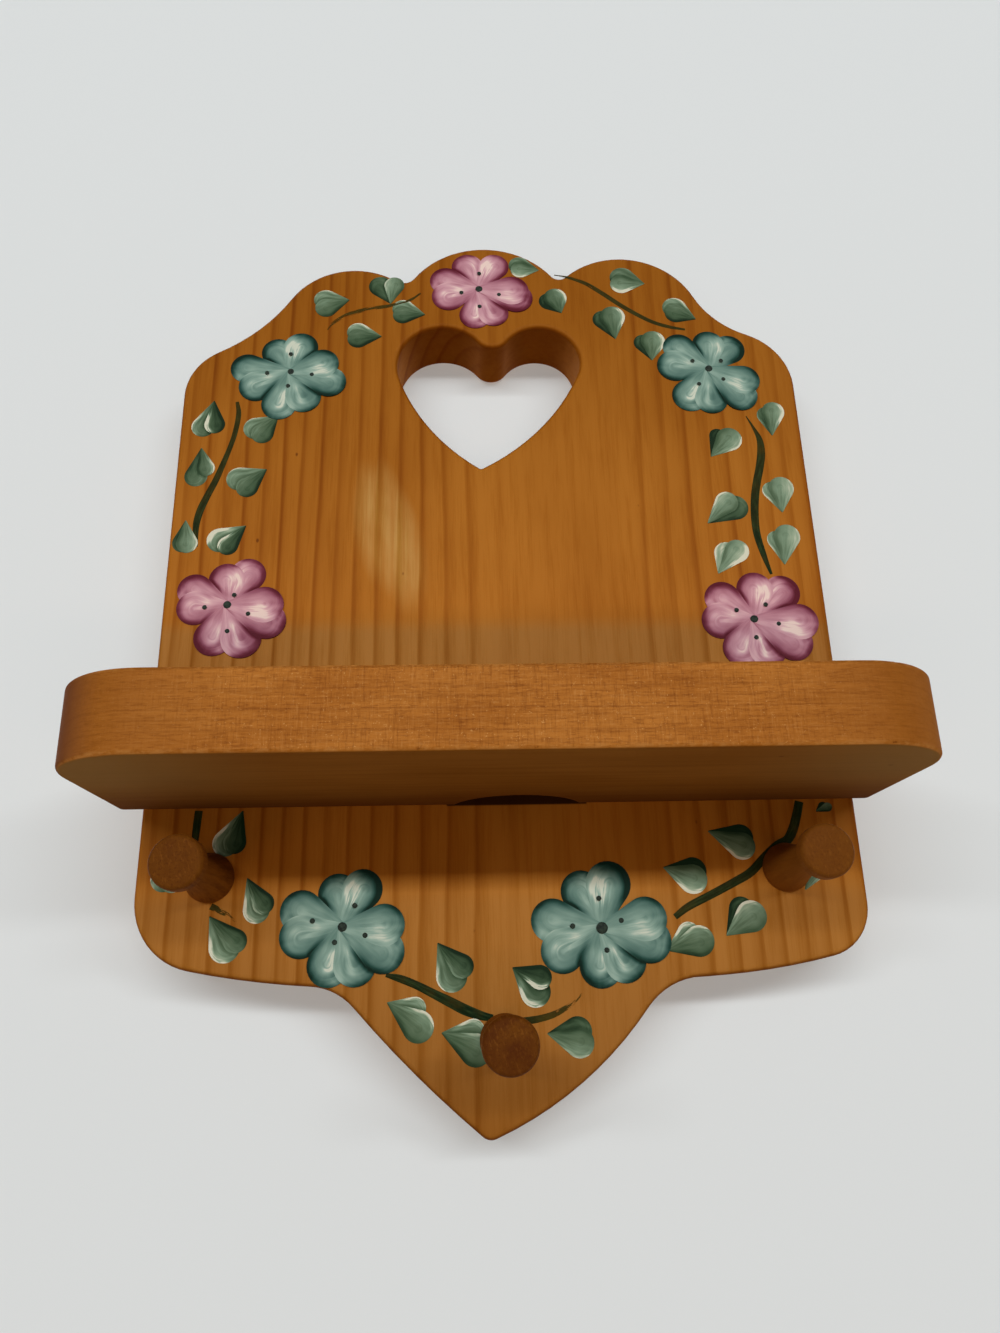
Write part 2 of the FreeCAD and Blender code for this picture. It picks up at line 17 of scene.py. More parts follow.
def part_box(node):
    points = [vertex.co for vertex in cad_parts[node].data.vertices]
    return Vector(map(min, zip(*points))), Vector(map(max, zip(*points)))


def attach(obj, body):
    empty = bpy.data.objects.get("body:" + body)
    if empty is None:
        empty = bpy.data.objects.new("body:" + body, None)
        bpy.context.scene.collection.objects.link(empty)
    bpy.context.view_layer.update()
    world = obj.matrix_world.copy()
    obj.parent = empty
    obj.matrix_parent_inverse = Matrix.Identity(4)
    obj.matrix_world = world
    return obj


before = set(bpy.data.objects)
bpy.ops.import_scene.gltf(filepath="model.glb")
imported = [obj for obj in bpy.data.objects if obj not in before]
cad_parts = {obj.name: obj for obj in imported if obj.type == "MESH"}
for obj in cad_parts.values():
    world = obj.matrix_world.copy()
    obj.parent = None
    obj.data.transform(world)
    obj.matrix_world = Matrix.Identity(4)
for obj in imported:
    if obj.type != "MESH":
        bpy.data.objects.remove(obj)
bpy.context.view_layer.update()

print("pieces:", ", ".join(sorted(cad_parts)))

# %% [markdown]
# ## Places on the board
# The painting is measured as a painter would measure it: millimetres across from the middle line and up
# from the shelf's underside. Those faces are read from the solids, so the paint stays on the board whatever
# its size.

# %% Read the faces to measure from
MM = 0.001
BOARD_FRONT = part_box("back_board")[0][1] / MM
SHELF_LOW, SHELF_TOP = (corner[2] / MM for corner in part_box("shelf_board"))
print(f"board front at y = {BOARD_FRONT:.1f} mm, shelf from z = {SHELF_LOW:.1f} mm to {SHELF_TOP:.1f} mm")


def on_board(across, up, proud):
    """The point so many millimetres across, up and proud of the board's front face."""
    return across * MM, (BOARD_FRONT - proud) * MM, (SHELF_LOW + up) * MM


def put(name, data):
    """Puts a new object into the scene and hands it back."""
    made = bpy.data.objects.new(name, data)
    bpy.context.scene.collection.objects.link(made)
    return made


# %% [markdown]
# ## The camera
# The photograph looks up at the shelf from a little below, from about a hand's length away, with a wide
# lens. That strong perspective is why the shelf looks so much wider than the board. The eye's place and
# angles were worked out from the corners of the board and shelf, and a matrix made of the three directions
# right, up and back sets them all at once.

# %% Make the camera
EYE = Vector((-10.16, -263.94, -65.53)) * MM
TURN, TILT, ROLL = 0.04144, 0.33205, -0.02354
LENS = 25.91

ahead = Vector((math.sin(TURN) * math.cos(TILT), math.cos(TURN) * math.cos(TILT), math.sin(TILT)))
level = Vector((math.cos(TURN), -math.sin(TURN), 0))
upright = level.cross(ahead)
right = level * math.cos(ROLL) + upright * math.sin(ROLL)
up = upright * math.cos(ROLL) - level * math.sin(ROLL)

camera = put("camera", bpy.data.cameras.new("camera"))
camera.data.lens = LENS
camera.data.clip_start = 10 * MM
camera.matrix_world = Matrix.Translation(EYE) @ Matrix((right, up, -ahead)).transposed().to_4x4()
bpy.context.scene.camera = camera
print(f"camera {EYE.length:.3f} m from the middle of the board's back, lens {LENS} mm")

# %% [markdown]
# ## Writing a material as sums
# A material in Blender is a net of nodes, and long nets are hard to read. Here the end of each wire is held
# in a small object, and ordinary maths on it adds the Math nodes, also in `1 - mask`, where the wire comes
# second. Colours go through Mix nodes, and every other node comes from one method.

# %% Wrap a socket so that maths works on it
class Wire:
    """The end of a wire in a material: the socket that a value or a colour comes from."""

    def __init__(self, finish, socket):
        self.finish = finish
        self.socket = socket

    def maths(self, operation, *values):
        return self.finish.node("ShaderNodeMath", {"operation": operation}, dict(enumerate(values)))

    def __add__(self, other):
        return self.maths("ADD", self, other)

    def __sub__(self, other):
        return self.maths("SUBTRACT", self, other)

    def __rsub__(self, other):
        return self.maths("SUBTRACT", other, self)

    def __mul__(self, other):
        return self.maths("MULTIPLY", self, other)

    def __truediv__(self, other):
        return self.maths("DIVIDE", self, other)

    def __pow__(self, other):
        return self.maths("POWER", self, other)

    def __neg__(self):
        return 0 - self

    __radd__ = __add__
    __rmul__ = __mul__

    def whole(self):
        return self.maths("FLOOR", self)

    def fraction(self):
        return self.maths("FRACT", self)

    def size(self):
        return self.maths("ABSOLUTE", self)

    def or_more(self, other):
        return self.maths("MAXIMUM", self, other)

    def rise(self, low, high):
        """0 below low, 1 above high, and a smooth step between them."""
        settings = {"interpolation_type": "SMOOTHSTEP"}
        return self.finish.node("ShaderNodeMapRange", settings, {"Value": self, 1: low, 2: high})

    def fall(self, low, high):
        """1 below low, 0 above high, and a smooth step between them."""
        return 1 - self.rise(low, high)

    def split(self):
        parts = self.finish.node("ShaderNodeSeparateXYZ", {}, {0: self}).socket.node.outputs
        return [Wire(self.finish, part) for part in parts]


# %% Hold one material while it is written
class Finish:
    """One material or world: its nodes, its colour so far, and the steps that most finishes here take."""

    def __init__(self, name, colour=None, world=False):
        self.block = (bpy.data.worlds if world else bpy.data.materials).new(name)
        self.block.use_nodes = True
        self.tree = self.block.node_tree
        self.tree.nodes.clear()
        self.colour = colour

    def node(self, kind, settings, sockets, out=0):
        """Adds a node, makes its settings, then gives its sockets their values or wires."""
        made = self.tree.nodes.new(kind)
        for name, value in settings.items():
            setattr(made, name, value)
        for name, value in sockets.items():
            if isinstance(value, Wire):
                self.tree.links.new(value.socket, made.inputs[name])
            else:
                made.inputs[name].default_value = value
        return Wire(self, made.outputs[out]) if made.outputs else None

    def place(self):
        """Where a point of the piece is, in millimetres: the pieces all share the part's own frame."""
        here = self.node("ShaderNodeTexCoord", {}, {}, "Object")
        scaled = self.node("ShaderNodeVectorMath", {"operation": "SCALE"}, {0: here, "Scale": 1 / MM})
        return scaled.split()

    def facing(self):
        """How squarely the surface faces right, forward and up, each from -1 to 1."""
        x, y, z = self.node("ShaderNodeNewGeometry", {}, {}, "Normal").split()
        return x, -y, z

    def marks(self, name):
        """The three numbers that a painted mesh keeps at each point under this name."""
        return self.node("ShaderNodeAttribute", {"attribute_name": name}, {}, "Vector").split()

    def at(self, x, y, z):
        return self.node("ShaderNodeCombineXYZ", {}, {0: x, 1: y, 2: z})

    def noise(self, x, y, z, detail=2.0, roughness=0.5):
        """Soft noise from 0 to 1, with one lump for each 1 that x, y or z grows."""
        sockets = {"Vector": self.at(x, y, z), "Scale": 1.0, "Detail": detail, "Roughness": roughness}
        return self.node("ShaderNodeTexNoise", {}, sockets)

    def coat(self, share, over, blend="MIX"):
        """Lays another colour over the finish's own, wholly where share is 1."""
        settings = {"data_type": "RGBA", "blend_type": blend}
        self.colour = self.node("ShaderNodeMix", settings, {0: share, 6: self.colour, 7: over}, 2)

    def stain(self, share, tint):
        """Lays a tint over the finish's colour that lets it show through, as stain does."""
        self.coat(share, tint, "MULTIPLY")

    def bump(self, height, depth):
        """Turns height, from 0 to 1, into relief that is depth millimetres deep."""
        return self.node("ShaderNodeBump", {}, {"Height": height, "Distance": depth * MM, "Strength": 1.0})

    def cover(self, **sockets):
        """Ends the material in a Principled shader of its colour and hands it back."""
        named = {name.replace("_", " "): value for name, value in sockets.items()}
        shader = self.node("ShaderNodeBsdfPrincipled", {}, {"Base Color": self.colour, **named})
        self.node("ShaderNodeOutputMaterial", {}, {"Surface": shader})
        return self.block


def rgb(red, green, blue):
    """A colour as a painter reads it from a screen, 0 to 255, turned into light."""
    return tuple((part / 255) ** 2.2 for part in (red, green, blue)) + (1.0,)


print(f"a mid grey of 128 sends back {rgb(128, 128, 128)[0]:.2f} of the light")

# %% [markdown]
# ## The pale backdrop
# The shelf hangs against a plain pale surface, half a millimetre behind the board. It has one good side:
# seen from behind it is clear, so that the board's back can be looked at, and it lets the lamps behind
# shine through. Two rays decide that, the kind that meets its back and the kind that looks for a lamp.
# Where it is looked at, nearly a third of its brightness is its own, so the object's shadow on it stays
# soft, and all of it far away, where the lamps no longer reach.

# %% Hang the backdrop
WALL_SIZE = 16.0
WALL_GAP = 0.5 * MM
WALL_COLOUR = rgb(224, 228, 227)
WALL_OWN_SHARE = 0.3
WALL_GLOW = 0.95
LAMPS_REACH = (400, 1400)


def looked_at(finish):
    """1 for the rays that see or mirror a surface, 0 for those that only light others from it."""
    kinds = ("Is Camera Ray", "Is Glossy Ray", "Is Transmission Ray")
    rays = [finish.node("ShaderNodeLightPath", {}, {}, kind) for kind in kinds]
    return rays[0].or_more(rays[1]).or_more(rays[2])


def pale_wall():
    wall = Finish("pale_wall")
    behind = wall.node("ShaderNodeNewGeometry", {}, {}, "Backfacing")
    to_lamp = wall.node("ShaderNodeLightPath", {}, {}, "Is Shadow Ray")
    plaster = wall.node("ShaderNodeBsdfDiffuse", {}, {"Color": WALL_COLOUR})
    own_light = wall.node("ShaderNodeEmission", {}, {"Color": WALL_COLOUR, "Strength": WALL_GLOW})
    glass = wall.node("ShaderNodeBsdfTransparent", {}, {})
    x, y, z = wall.place()
    far = ((x ** 2 + z ** 2) ** 0.5).rise(*LAMPS_REACH)
    share = looked_at(wall) * (WALL_OWN_SHARE + (1 - WALL_OWN_SHARE) * far)
    front = wall.node("ShaderNodeMixShader", {}, {0: share, 1: plaster, 2: own_light})
    shader = wall.node("ShaderNodeMixShader", {}, {0: behind.or_more(to_lamp), 1: front, 2: glass})
    wall.node("ShaderNodeOutputMaterial", {}, {"Surface": shader})
    return wall.block


half = WALL_SIZE / 2
backdrop_mesh = bpy.data.meshes.new("backdrop")
corners = [(-half, WALL_GAP, -half), (half, WALL_GAP, -half), (half, WALL_GAP, half), (-half, WALL_GAP, half)]
backdrop_mesh.from_pydata(corners, [], [(0, 1, 2, 3)])
backdrop_mesh.materials.append(pale_wall())
backdrop = put("backdrop", backdrop_mesh)
print(f"backdrop {WALL_SIZE:.0f} m square, {WALL_GAP / MM:.1f} mm behind the board")

# %% [markdown]
# ## Plain light
# Two shadows tell where the light is. The shelf shades a sharp band below it, yet the pegs throw no shadow,
# so the main light is a long level strip, in front and a little above. A dull band above the shelf shows a
# second, warmer strip from below. The lamps' shares and the sky's add up to about one, so a colour renders
# about as it is written. Two more lamps light the back.

# %% Set the lamps
Lamp = namedtuple("Lamp", "name share rise swing wide high colour")
LAMPS = [
    Lamp("key_strip", 0.66, 17.6, 0.0, 3.4, 0.15, (0.96, 1.0, 1.04)),
    Lamp("low_strip", 0.18, -28.8, 0.0, 3.0, 0.22, (1.0, 0.68, 0.48)),
    Lamp("back_lamp_left", 0.34, 20.0, 145.0, 1.0, 1.0, (1.0, 1.0, 1.0)),
    Lamp("back_lamp_right", 0.34, 20.0, -145.0, 1.0, 1.0, (1.0, 1.0, 1.0)),
]
LAMP_AWAY = 2.0


def add_lamp(lamp):
    """A lamp seen from the part at rise degrees up and swing degrees round from straight in front. Its
    energy grows with the square of its distance. The ends of a wide strip are farther off still and
    stand aslant, so only a part of its light is kept, and the energy makes up for that."""
    light = bpy.data.lights.new(lamp.name, "AREA")
    light.shape = "RECTANGLE"
    light.size = lamp.wide
    light.size_y = lamp.high
    light.color = lamp.colour
    half_wide = lamp.wide / 2 / LAMP_AWAY
    kept = (half_wide / (1 + half_wide ** 2) + math.atan(half_wide)) / 2 / half_wide
    light.energy = lamp.share * math.pi ** 2 * LAMP_AWAY ** 2 / kept
    rise, swing = math.radians(lamp.rise), math.radians(lamp.swing)
    towards = Vector((math.sin(swing) * math.cos(rise), -math.cos(swing) * math.cos(rise), math.sin(rise)))
    holder = put(lamp.name, light)
    holder.rotation_euler = towards.to_track_quat("Z", "Y").to_euler()
    holder.location = towards * LAMP_AWAY
    holder.visible_camera = False


for lamp in LAMPS:
    add_lamp(lamp)
print("lamps:", ", ".join(lamp.name for lamp in LAMPS))

# %% Light the sky
SKY_SHARE = 0.15
SKY_SEEN = 0.86
SKY_COLOUR = rgb(250, 252, 255)


def pale_sky():
    """A dim even light all round, which looks pale where it is seen or mirrored."""
    sky = Finish("pale_sky", world=True)
    strength = SKY_SHARE + (SKY_SEEN - SKY_SHARE) * looked_at(sky)
    light = sky.node("ShaderNodeBackground", {}, {"Color": SKY_COLOUR, "Strength": strength})
    sky.node("ShaderNodeOutputWorld", {}, {"Surface": light})
    return sky.block


bpy.context.scene.world = pale_sky()
bpy.context.scene.view_settings.view_transform = "Standard"
print("front light adds up to", round(LAMPS[0].share + LAMPS[1].share + SKY_SHARE, 2))

# %% [markdown]
# ## Pine
# A board is a slice of a trunk, so its figure is a solid thing: rings round a pith, cut by every face. The
# distance from the pith, counted in rings, gives the same line on the front, on the sawn edges and in the
# heart's walls, and they meet at the corners as they do in real wood. Each ring grows pale in spring and
# ends in a thin dark line. On this board the pith lay a thumb's width behind the front, a little right of
# the middle, which is why the lines stand close at both sides and the middle is plain.

# %% Cut boards from a trunk
Trunk = namedtuple("Trunk", "across depth ring wander")


def growth_rings(wood, a, b, along, trunk):
    """The dark line of each ring, 0 to 1, a number that each ring keeps to itself, the place within the
    ring, and the count of rings. a and b are the millimetres across the grain, along those down the trunk."""
    drift = wood.noise(a / 34, b / 34, along / 150, 1.0) - 0.5
    shiver = wood.noise(a / 5, b / 5, along / 30, 1.0) - 0.5
    from_pith = ((a - trunk.across) ** 2 + (b - trunk.depth) ** 2) ** 0.5
    rings = from_pith / trunk.ring + drift * trunk.wander + shiver * 0.14
    season = rings.fraction()
    own = wood.node("ShaderNodeTexWhiteNoise", {"noise_dimensions": "1D"}, {"W": rings.whole()})
    line = season.rise(0.66, 0.9) * season.fall(0.9, 1.0)
    return line, own, season, rings


def fibres(wood, a, b, along):
    """Fine threads down the grain, 0 to 1."""
    fine = wood.noise(a * 2.6, b * 2.6, along / 9, 3.0, 0.6)
    coarse = wood.noise(a / 1.6, b / 1.6, along / 30, 2.0)
    return fine * 0.45 + coarse * 0.55


BOARD_TRUNK = Trunk(across=18.0, depth=7.0, ring=5.25, wander=0.9)
SHELF_TRUNK = Trunk(across=-76.0, depth=-46.0, ring=2.3, wander=1.3)
print(f"rings {BOARD_TRUNK.ring} mm wide in the board and {SHELF_TRUNK.ring} mm in the shelf")

# %% [markdown]
# ## The back board's finish
# The pine was stained honey brown and varnished. Stain sinks deeper into the dark lines, the ends of the
# grain and the softened edges, so they are darker, and on the softened edges some of that darkening is
# painted shade. The board also grows darker toward the crest and the foot. A lighter patch stands left of
# the middle. The board is duller just above the shelf, mostly from the light, and a painted shade deepens
# that band; below the shelf the wood takes a duller tint. The varnish is thin and satin: it shows a soft
# light, and no mirror. A finish starts from one colour, and then each coat or stain lies over those before
# it.

# %% Mark the lighter patch, the flecks and the hollow
PATCH_ACROSS, PATCH_UP, PATCH_WIDE, PATCH_HIGH = -28.0, 71.0, 9.5, 24.0
PATCH_PIVOT, PATCH_LEAN, PATCH_STEP = 67.0, 0.27, 14.0
HOLLOW_ACROSS, HOLLOW_HALF, HOLLOW_REACH, HOLLOW_HEIGHT = 3.5, 17.8, 12.6, 9.3


def in_hollow(x, y, z, start):
    """1 inside the half-round hollow in the shelf's lower rear edge, from start millimetres up."""
    forward, up = BOARD_FRONT - y, z - SHELF_LOW
    deep = forward.rise(-1.2, -0.6) * forward.fall(HOLLOW_REACH - 0.4, HOLLOW_REACH)
    high = up.rise(start, start + 0.5) * up.fall(HOLLOW_HEIGHT, HOLLOW_HEIGHT + 0.4)
    return deep * high * (x - HOLLOW_ACROSS).size().fall(HOLLOW_HALF, HOLLOW_HALF + 0.6)


def lighter_patch_mask(wood, x, z, own):
    """The lighter patch left of the middle: a soft leaning oval, shifted in each ring and finely streaked."""
    up = z - SHELF_LOW
    lean = x + (up - PATCH_PIVOT) * PATCH_LEAN
    high = (up - PATCH_UP - own * PATCH_STEP) / PATCH_HIGH
    inside = ((lean - PATCH_ACROSS) / PATCH_WIDE) ** 2 + high ** 2
    streaks = wood.noise(x / 1.5, 0.0, z / 50, 2.0)
    shimmer = wood.noise(lean / 7, 0.0, z / 18, 2.0)
    return inside.fall(0.1, 1.3) * (0.6 + streaks.rise(0.34, 0.62) * 0.4) * (0.3 + shimmer)


def specks(wood, a, b, along):
    """Small dark resin flecks, each a little longer down the grain."""
    sockets = {"Vector": wood.at(a / 11, b / 11, along / 18), "Scale": 1.0}
    return wood.node("ShaderNodeTexVoronoi", {}, sockets, "Distance").fall(0.02, 0.05)


print(f"the flame stands {-PATCH_ACROSS:.0f} mm left, the hollow is {2 * HOLLOW_HALF:.1f} mm wide")

# %% Write the board's finish
BOARD_PALE = rgb(175, 110, 39)
BOARD_WARM = rgb(160, 97, 30)
BOARD_DEEP = rgb(118, 67, 6)
BOARD_SHADE_AND_TINT = rgb(162, 118, 66)
BOARD_LIGHTER_PATCH = rgb(201, 158, 91)
LINE_STAIN_AND_EDGE_SHADE = rgb(214, 190, 50)
END_GRAIN = rgb(104, 54, 12)
SPECK = rgb(84, 40, 10)
HOLLOW_SHADE = rgb(30, 12, 6)


def board_finish():
    wood = Finish("stained_and_shaded_pine", BOARD_PALE)
    x, y, z = wood.place()
    up = z - SHELF_LOW
    down = -up
    line, own, season, rings = growth_rings(wood, x, y, z, BOARD_TRUNK)
    quiet = (x - BOARD_TRUNK.across).size().rise(8, 38)
    threads = fibres(wood, x, y, z)
    blotch = wood.noise(x / 30, y / 42, z / 60, 3.0)
    front = y.fall(-17, -12)
    lighter_patch = lighter_patch_mask(wood, x, z, own) * front
    # Painted shade: a band just above the shelf, where the shelf hides the low lamp. Below the shelf the same
    # coat is a plain duller tint.
    shade_band_and_tint = up.rise(16, 20) * up.fall(47, 53) * 0.4
    shade_band_and_tint = shade_band_and_tint + down.rise(16, 26) * (1 - down.rise(58, 84) * 0.6) * 0.36
    wood.coat(blotch.rise(0.3, 0.72), BOARD_WARM)
    wood.coat(lighter_patch * 0.74, BOARD_LIGHTER_PATCH)
    wood.coat(down.rise(18, 88) * 0.72 + up.rise(52, 165) * 0.46, BOARD_DEEP)
    wood.coat(shade_band_and_tint * front, BOARD_SHADE_AND_TINT)
    wood.stain(season.rise(0.3, 0.9) * 0.34 * quiet, LINE_STAIN_AND_EDGE_SHADE)
    wood.stain(threads.rise(0.42, 0.72) * 0.46, LINE_STAIN_AND_EDGE_SHADE)
    faint = (rings / 2).fraction().rise(0.45, 0.5) * x.rise(20, 40) * up.rise(0, 40) * 0.8
    faint = faint.or_more(down.rise(18, 40) * 0.22)
    shown = (0.26 + own * 0.62) * (0.12 + quiet * 0.88) * (1 - faint) * (0.7 + blotch * 0.5)
    wood.stain(line * shown * (1 - lighter_patch * 0.35), LINE_STAIN_AND_EDGE_SHADE)
    wood.coat(specks(wood, x, y, z) * 0.7, SPECK)
    forward, top = wood.facing()[1:]
    wood.coat(top.size().rise(0.35, 0.95) * 0.5, END_GRAIN)
    # Painted shade, over the stain that sinks in there: the softened edges that turn away from the front are
    # darkened.
    wood.stain(forward.rise(0.05, 0.4) * forward.fall(0.7, 0.97) * 0.6, LINE_STAIN_AND_EDGE_SHADE)
    # Painted shade: the board's face seen inside the shelf's hollow is darkened.
    wood.coat(in_hollow(x, y, z, -0.4) * 0.94, HOLLOW_SHADE)
    return wood.cover(
        Roughness=0.82 - forward.rise(0.3, 0.95) * 0.4 + threads * 0.12,
        Normal=wood.bump(threads * 0.5 + line * 0.5, 0.04),
        Specular_IOR_Level=0.04,
    )


def dress(node, material):
    """Gives a carried-over solid its finish."""
    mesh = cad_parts[node].data
    mesh.materials.clear()
    mesh.materials.append(material)
    mesh.polygons.foreach_set("material_index", [0] * len(mesh.polygons))


dress("back_board", board_finish())
print("back_board dressed in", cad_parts["back_board"].data.materials[0].name)

# %% [markdown]
# ## The shelf's finish
# The shelf is a thicker, plainer piece with its grain running sideways. Its front was never planed smooth:
# the saw left a fine weave of upright marks over the grain, and the stain caught in it. The marks are
# strongest in the middle. The left end is end grain, which drank more stain and turned nearly plum. The front
# is given painted shade toward both ends, where the light falls off. Both front edges are worn and carry a
# painted highlight, and the lower one is chipped along its length. Below, a painted shade lies light at the
# ends and deep at the back, and the small hollow there, against the board, is painted dark as shade.

# %% Lay the saw's marks
SHELF_LINE = rgb(104, 52, 10)
SHELF_WEAR_AND_HIGHLIGHT = rgb(204, 146, 82)


def saw_marks(wood, x, y, z, front):
    """Lays dark and pale coats along the saw's marks, and hands back the marks."""
    middle = front * (1 - x.size().rise(40, 88) * 0.6)
    upright = wood.noise(x * 2.8, y / 9, z / 4, 3.0, 0.75)
    level = wood.noise(x / 2.8, y / 9, z * 3.2, 3.0, 0.75)
    dust = wood.noise(x * 1.9, y / 9, z * 1.9, 2.0, 0.7)
    wood.coat(upright.rise(0.52, 0.66) * middle * 0.36, SHELF_LINE)
    wood.coat(level.rise(0.5, 0.66) * front * 0.46, SHELF_LINE)
    wood.coat(upright.fall(0.28, 0.46) * middle * 0.24, SHELF_WEAR_AND_HIGHLIGHT)
    wood.coat(level.fall(0.3, 0.46) * front * 0.22, SHELF_WEAR_AND_HIGHLIGHT)
    wood.coat(dust.rise(0.64, 0.72) * middle * 0.7, SHELF_WEAR_AND_HIGHLIGHT)
    return upright + level


# %% Wear and highlight the edges, and shade the underside
SHELF_UNDER_SHADE = rgb(94, 56, 2)
SHELF_UNDER_LESS_SHADE = rgb(136, 100, 52)
SHELF_UNDER_REAR_SHADE = rgb(58, 18, 0)


def worn_and_highlit_edges(wood, x, y, z, top):
    """Lays pale coats, wear and painted highlight, and dark coats on both front edges, and hands back the
    lower one's chips.
    """
    lowest = (z - SHELF_LOW).fall(0.5, 1.4) * (-top).fall(0.75, 0.99)
    highest = (z - SHELF_TOP).rise(-1.2, -0.4) * top.fall(0.75, 0.99)
    nicks = wood.noise(x / 2.6, y / 2.6, z / 1.3, 3.0, 0.7)
    chips = nicks.rise(0.62, 0.72) * lowest
    # Painted highlight, with wear: a pale line along both front edges.
    wood.coat((lowest * 0.3 + highest * 0.16) * nicks.fall(0.35, 0.6), SHELF_WEAR_AND_HIGHLIGHT)
    wood.coat(chips * 0.6, SHELF_LINE)
    wood.coat(highest * nicks.rise(0.35, 0.6) * 0.35, SHELF_LINE)
    return chips


def shade_underside(wood, x, y, top):
    # Painted shade on the underside: dark all over, darkest at the back against the board, and lighter toward
    # the front of the ends.
    under = (-top).rise(0.75, 0.99)
    wood.coat(under * 0.62, SHELF_UNDER_SHADE)
    wood.coat(under * x.size().rise(44, 92) * (-y).rise(20, 60) * 0.78, SHELF_UNDER_LESS_SHADE)
    wood.coat(under * y.rise(-48, -17) * 0.48, SHELF_UNDER_REAR_SHADE)


# %% Write the shelf's finish
SHELF_PALE = rgb(178, 112, 46)
SHELF_WARM = rgb(162, 98, 36)
SHELF_LEFT_END = rgb(100, 56, 30)
SHELF_END_GRAIN_AND_SHADE = rgb(128, 74, 22)


def shelf_finish():
    wood = Finish("stained_and_shaded_shelf", SHELF_PALE)
    x, y, z = wood.place()
    line, own = growth_rings(wood, y, z, x, SHELF_TRUNK)[:2]
    threads = fibres(wood, y, z, x)
    right, forward, top = wood.facing()
    front = forward.rise(0.55, 0.98)
    blotch = wood.noise(x / 40, y / 20, z / 14, 2.0)
    wood.coat(blotch.rise(0.3, 0.72), SHELF_WARM)
    wood.coat(threads.rise(0.4, 0.72) * 0.3, SHELF_LINE)
    wood.coat(line * (0.06 + own * 0.22), SHELF_LINE)
    marks = saw_marks(wood, x, y, z, front)
    # Painted shade: the front darkens toward both ends, where the light falls off.
    wood.coat((x.size().rise(50, 92) * 0.66 + x.rise(60, 92) * 0.2) * front, SHELF_END_GRAIN_AND_SHADE)
    chips = worn_and_highlit_edges(wood, x, y, z, top)
    shade_underside(wood, x, y, top)
    wood.coat(specks(wood, y, z, x) * 0.6, SPECK)
    wood.coat((-right).rise(0.3, 0.82) * 0.9, SHELF_LEFT_END)
    wood.coat(right.rise(0.35, 0.9) * 0.75, SHELF_END_GRAIN_AND_SHADE)
    # Painted shade inside the hollow in the shelf's lower rear edge.
    wood.coat(in_hollow(x, y, z, 0.3) * 0.96, HOLLOW_SHADE)
    return wood.cover(
        Roughness=0.85 - front * 0.36 + threads * 0.12,
        Normal=wood.bump(threads * 0.4 + marks * front * 0.3 - chips, 0.08),
        Specular_IOR_Level=0.05,
    )


dress("shelf_board", shelf_finish())
print("shelf_board dressed in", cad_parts["shelf_board"].data.materials[0].name)

# %% [markdown]
# ## Turned pegs
# Shop-bought pegs are turned from birch with the grain along their length, so a head shows end grain. It
# drank the most stain of all, and the lathe's last cut left it scratched, with light marks on the dark. One
# finish serves all three, because it takes each peg's own place: the right one is paler, and the center
# one's head is darker in its lower half.

# %% Write the pegs' finish
PEGS = ["left_peg", "right_peg", "center_peg"]
PEG_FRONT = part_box("center_peg")[0][1] / MM
CENTER_PEG_UP = sum(corner[2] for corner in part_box("center_peg")) / 2 / MM
PEG_SIDE = rgb(120, 68, 20)
PEG_DARK = rgb(70, 33, 7)
PEG_FACE = rgb(98, 57, 15)
PEG_SCRATCH = rgb(142, 88, 34)


def peg_finish():
    wood = Finish("turned_birch", PEG_SIDE)
    x, y, z = wood.place()
    threads = fibres(wood, x, z, y)
    blotch = wood.noise(x / 4.5, y / 14, z / 4.5, 3.0, 0.6)
    pores = wood.noise(x * 1.7, 0.0, z * 1.7, 3.0, 0.6)
    scratches = wood.noise((x * 0.95 + z * 0.3) * 1.4, 0.0, (z * 0.95 - x * 0.3) / 1.8, 4.0, 0.65)
    pale = x.rise(30, 60)
    even = x.size().rise(20, 60) * 0.6
    wood.coat(threads.rise(0.35, 0.75) * (0.7 - pale * 0.3), PEG_DARK)
    wood.coat(pale * 0.25, PEG_SCRATCH)
    side = wood.colour
    wood.colour = PEG_FACE
    wood.coat(blotch.rise(0.3, 0.7) * (0.7 - even * 0.6), PEG_DARK)
    wood.coat(scratches.rise(0.5, 0.7) * (0.28 - even * 0.06), PEG_SCRATCH)
    wood.coat(pores.rise(0.5, 0.7) * 0.5, PEG_DARK)
    wood.coat((CENTER_PEG_UP - z).rise(-4, 5) * (0.4 - even * 0.66), PEG_DARK)
    wood.coat(pale * 0.16, PEG_SCRATCH)
    off_face = (y - PEG_FRONT).rise(0.7, 1.6)
    wood.coat(off_face, side)
    return wood.cover(
        Roughness=0.6 + threads * 0.2,
        Normal=wood.bump(pores * (1 - off_face) + threads * off_face, 0.06),
        Specular_IOR_Level=0.06,
    )


turned = peg_finish()
for peg in PEGS:
    dress(peg, turned)
print("pegs dressed:", ", ".join(PEGS))

# %% [markdown]
# ## Steel
# The screws stay out of sight in the wood, and the hanger and its two nails are on the back. All three are
# zinc-plated steel, a little cloudy, with the fine scratches that plating picks up in a drawer.

# %% Write the steel finishes
STEEL = [
    (("sawtooth_hanger",), rgb(176, 176, 172), 0.34),
    (("left_nail", "right_nail"), rgb(160, 158, 150), 0.4),
    (("left_screw", "right_screw"), rgb(186, 176, 140), 0.32),
]
STEEL_DULL = rgb(96, 94, 90)


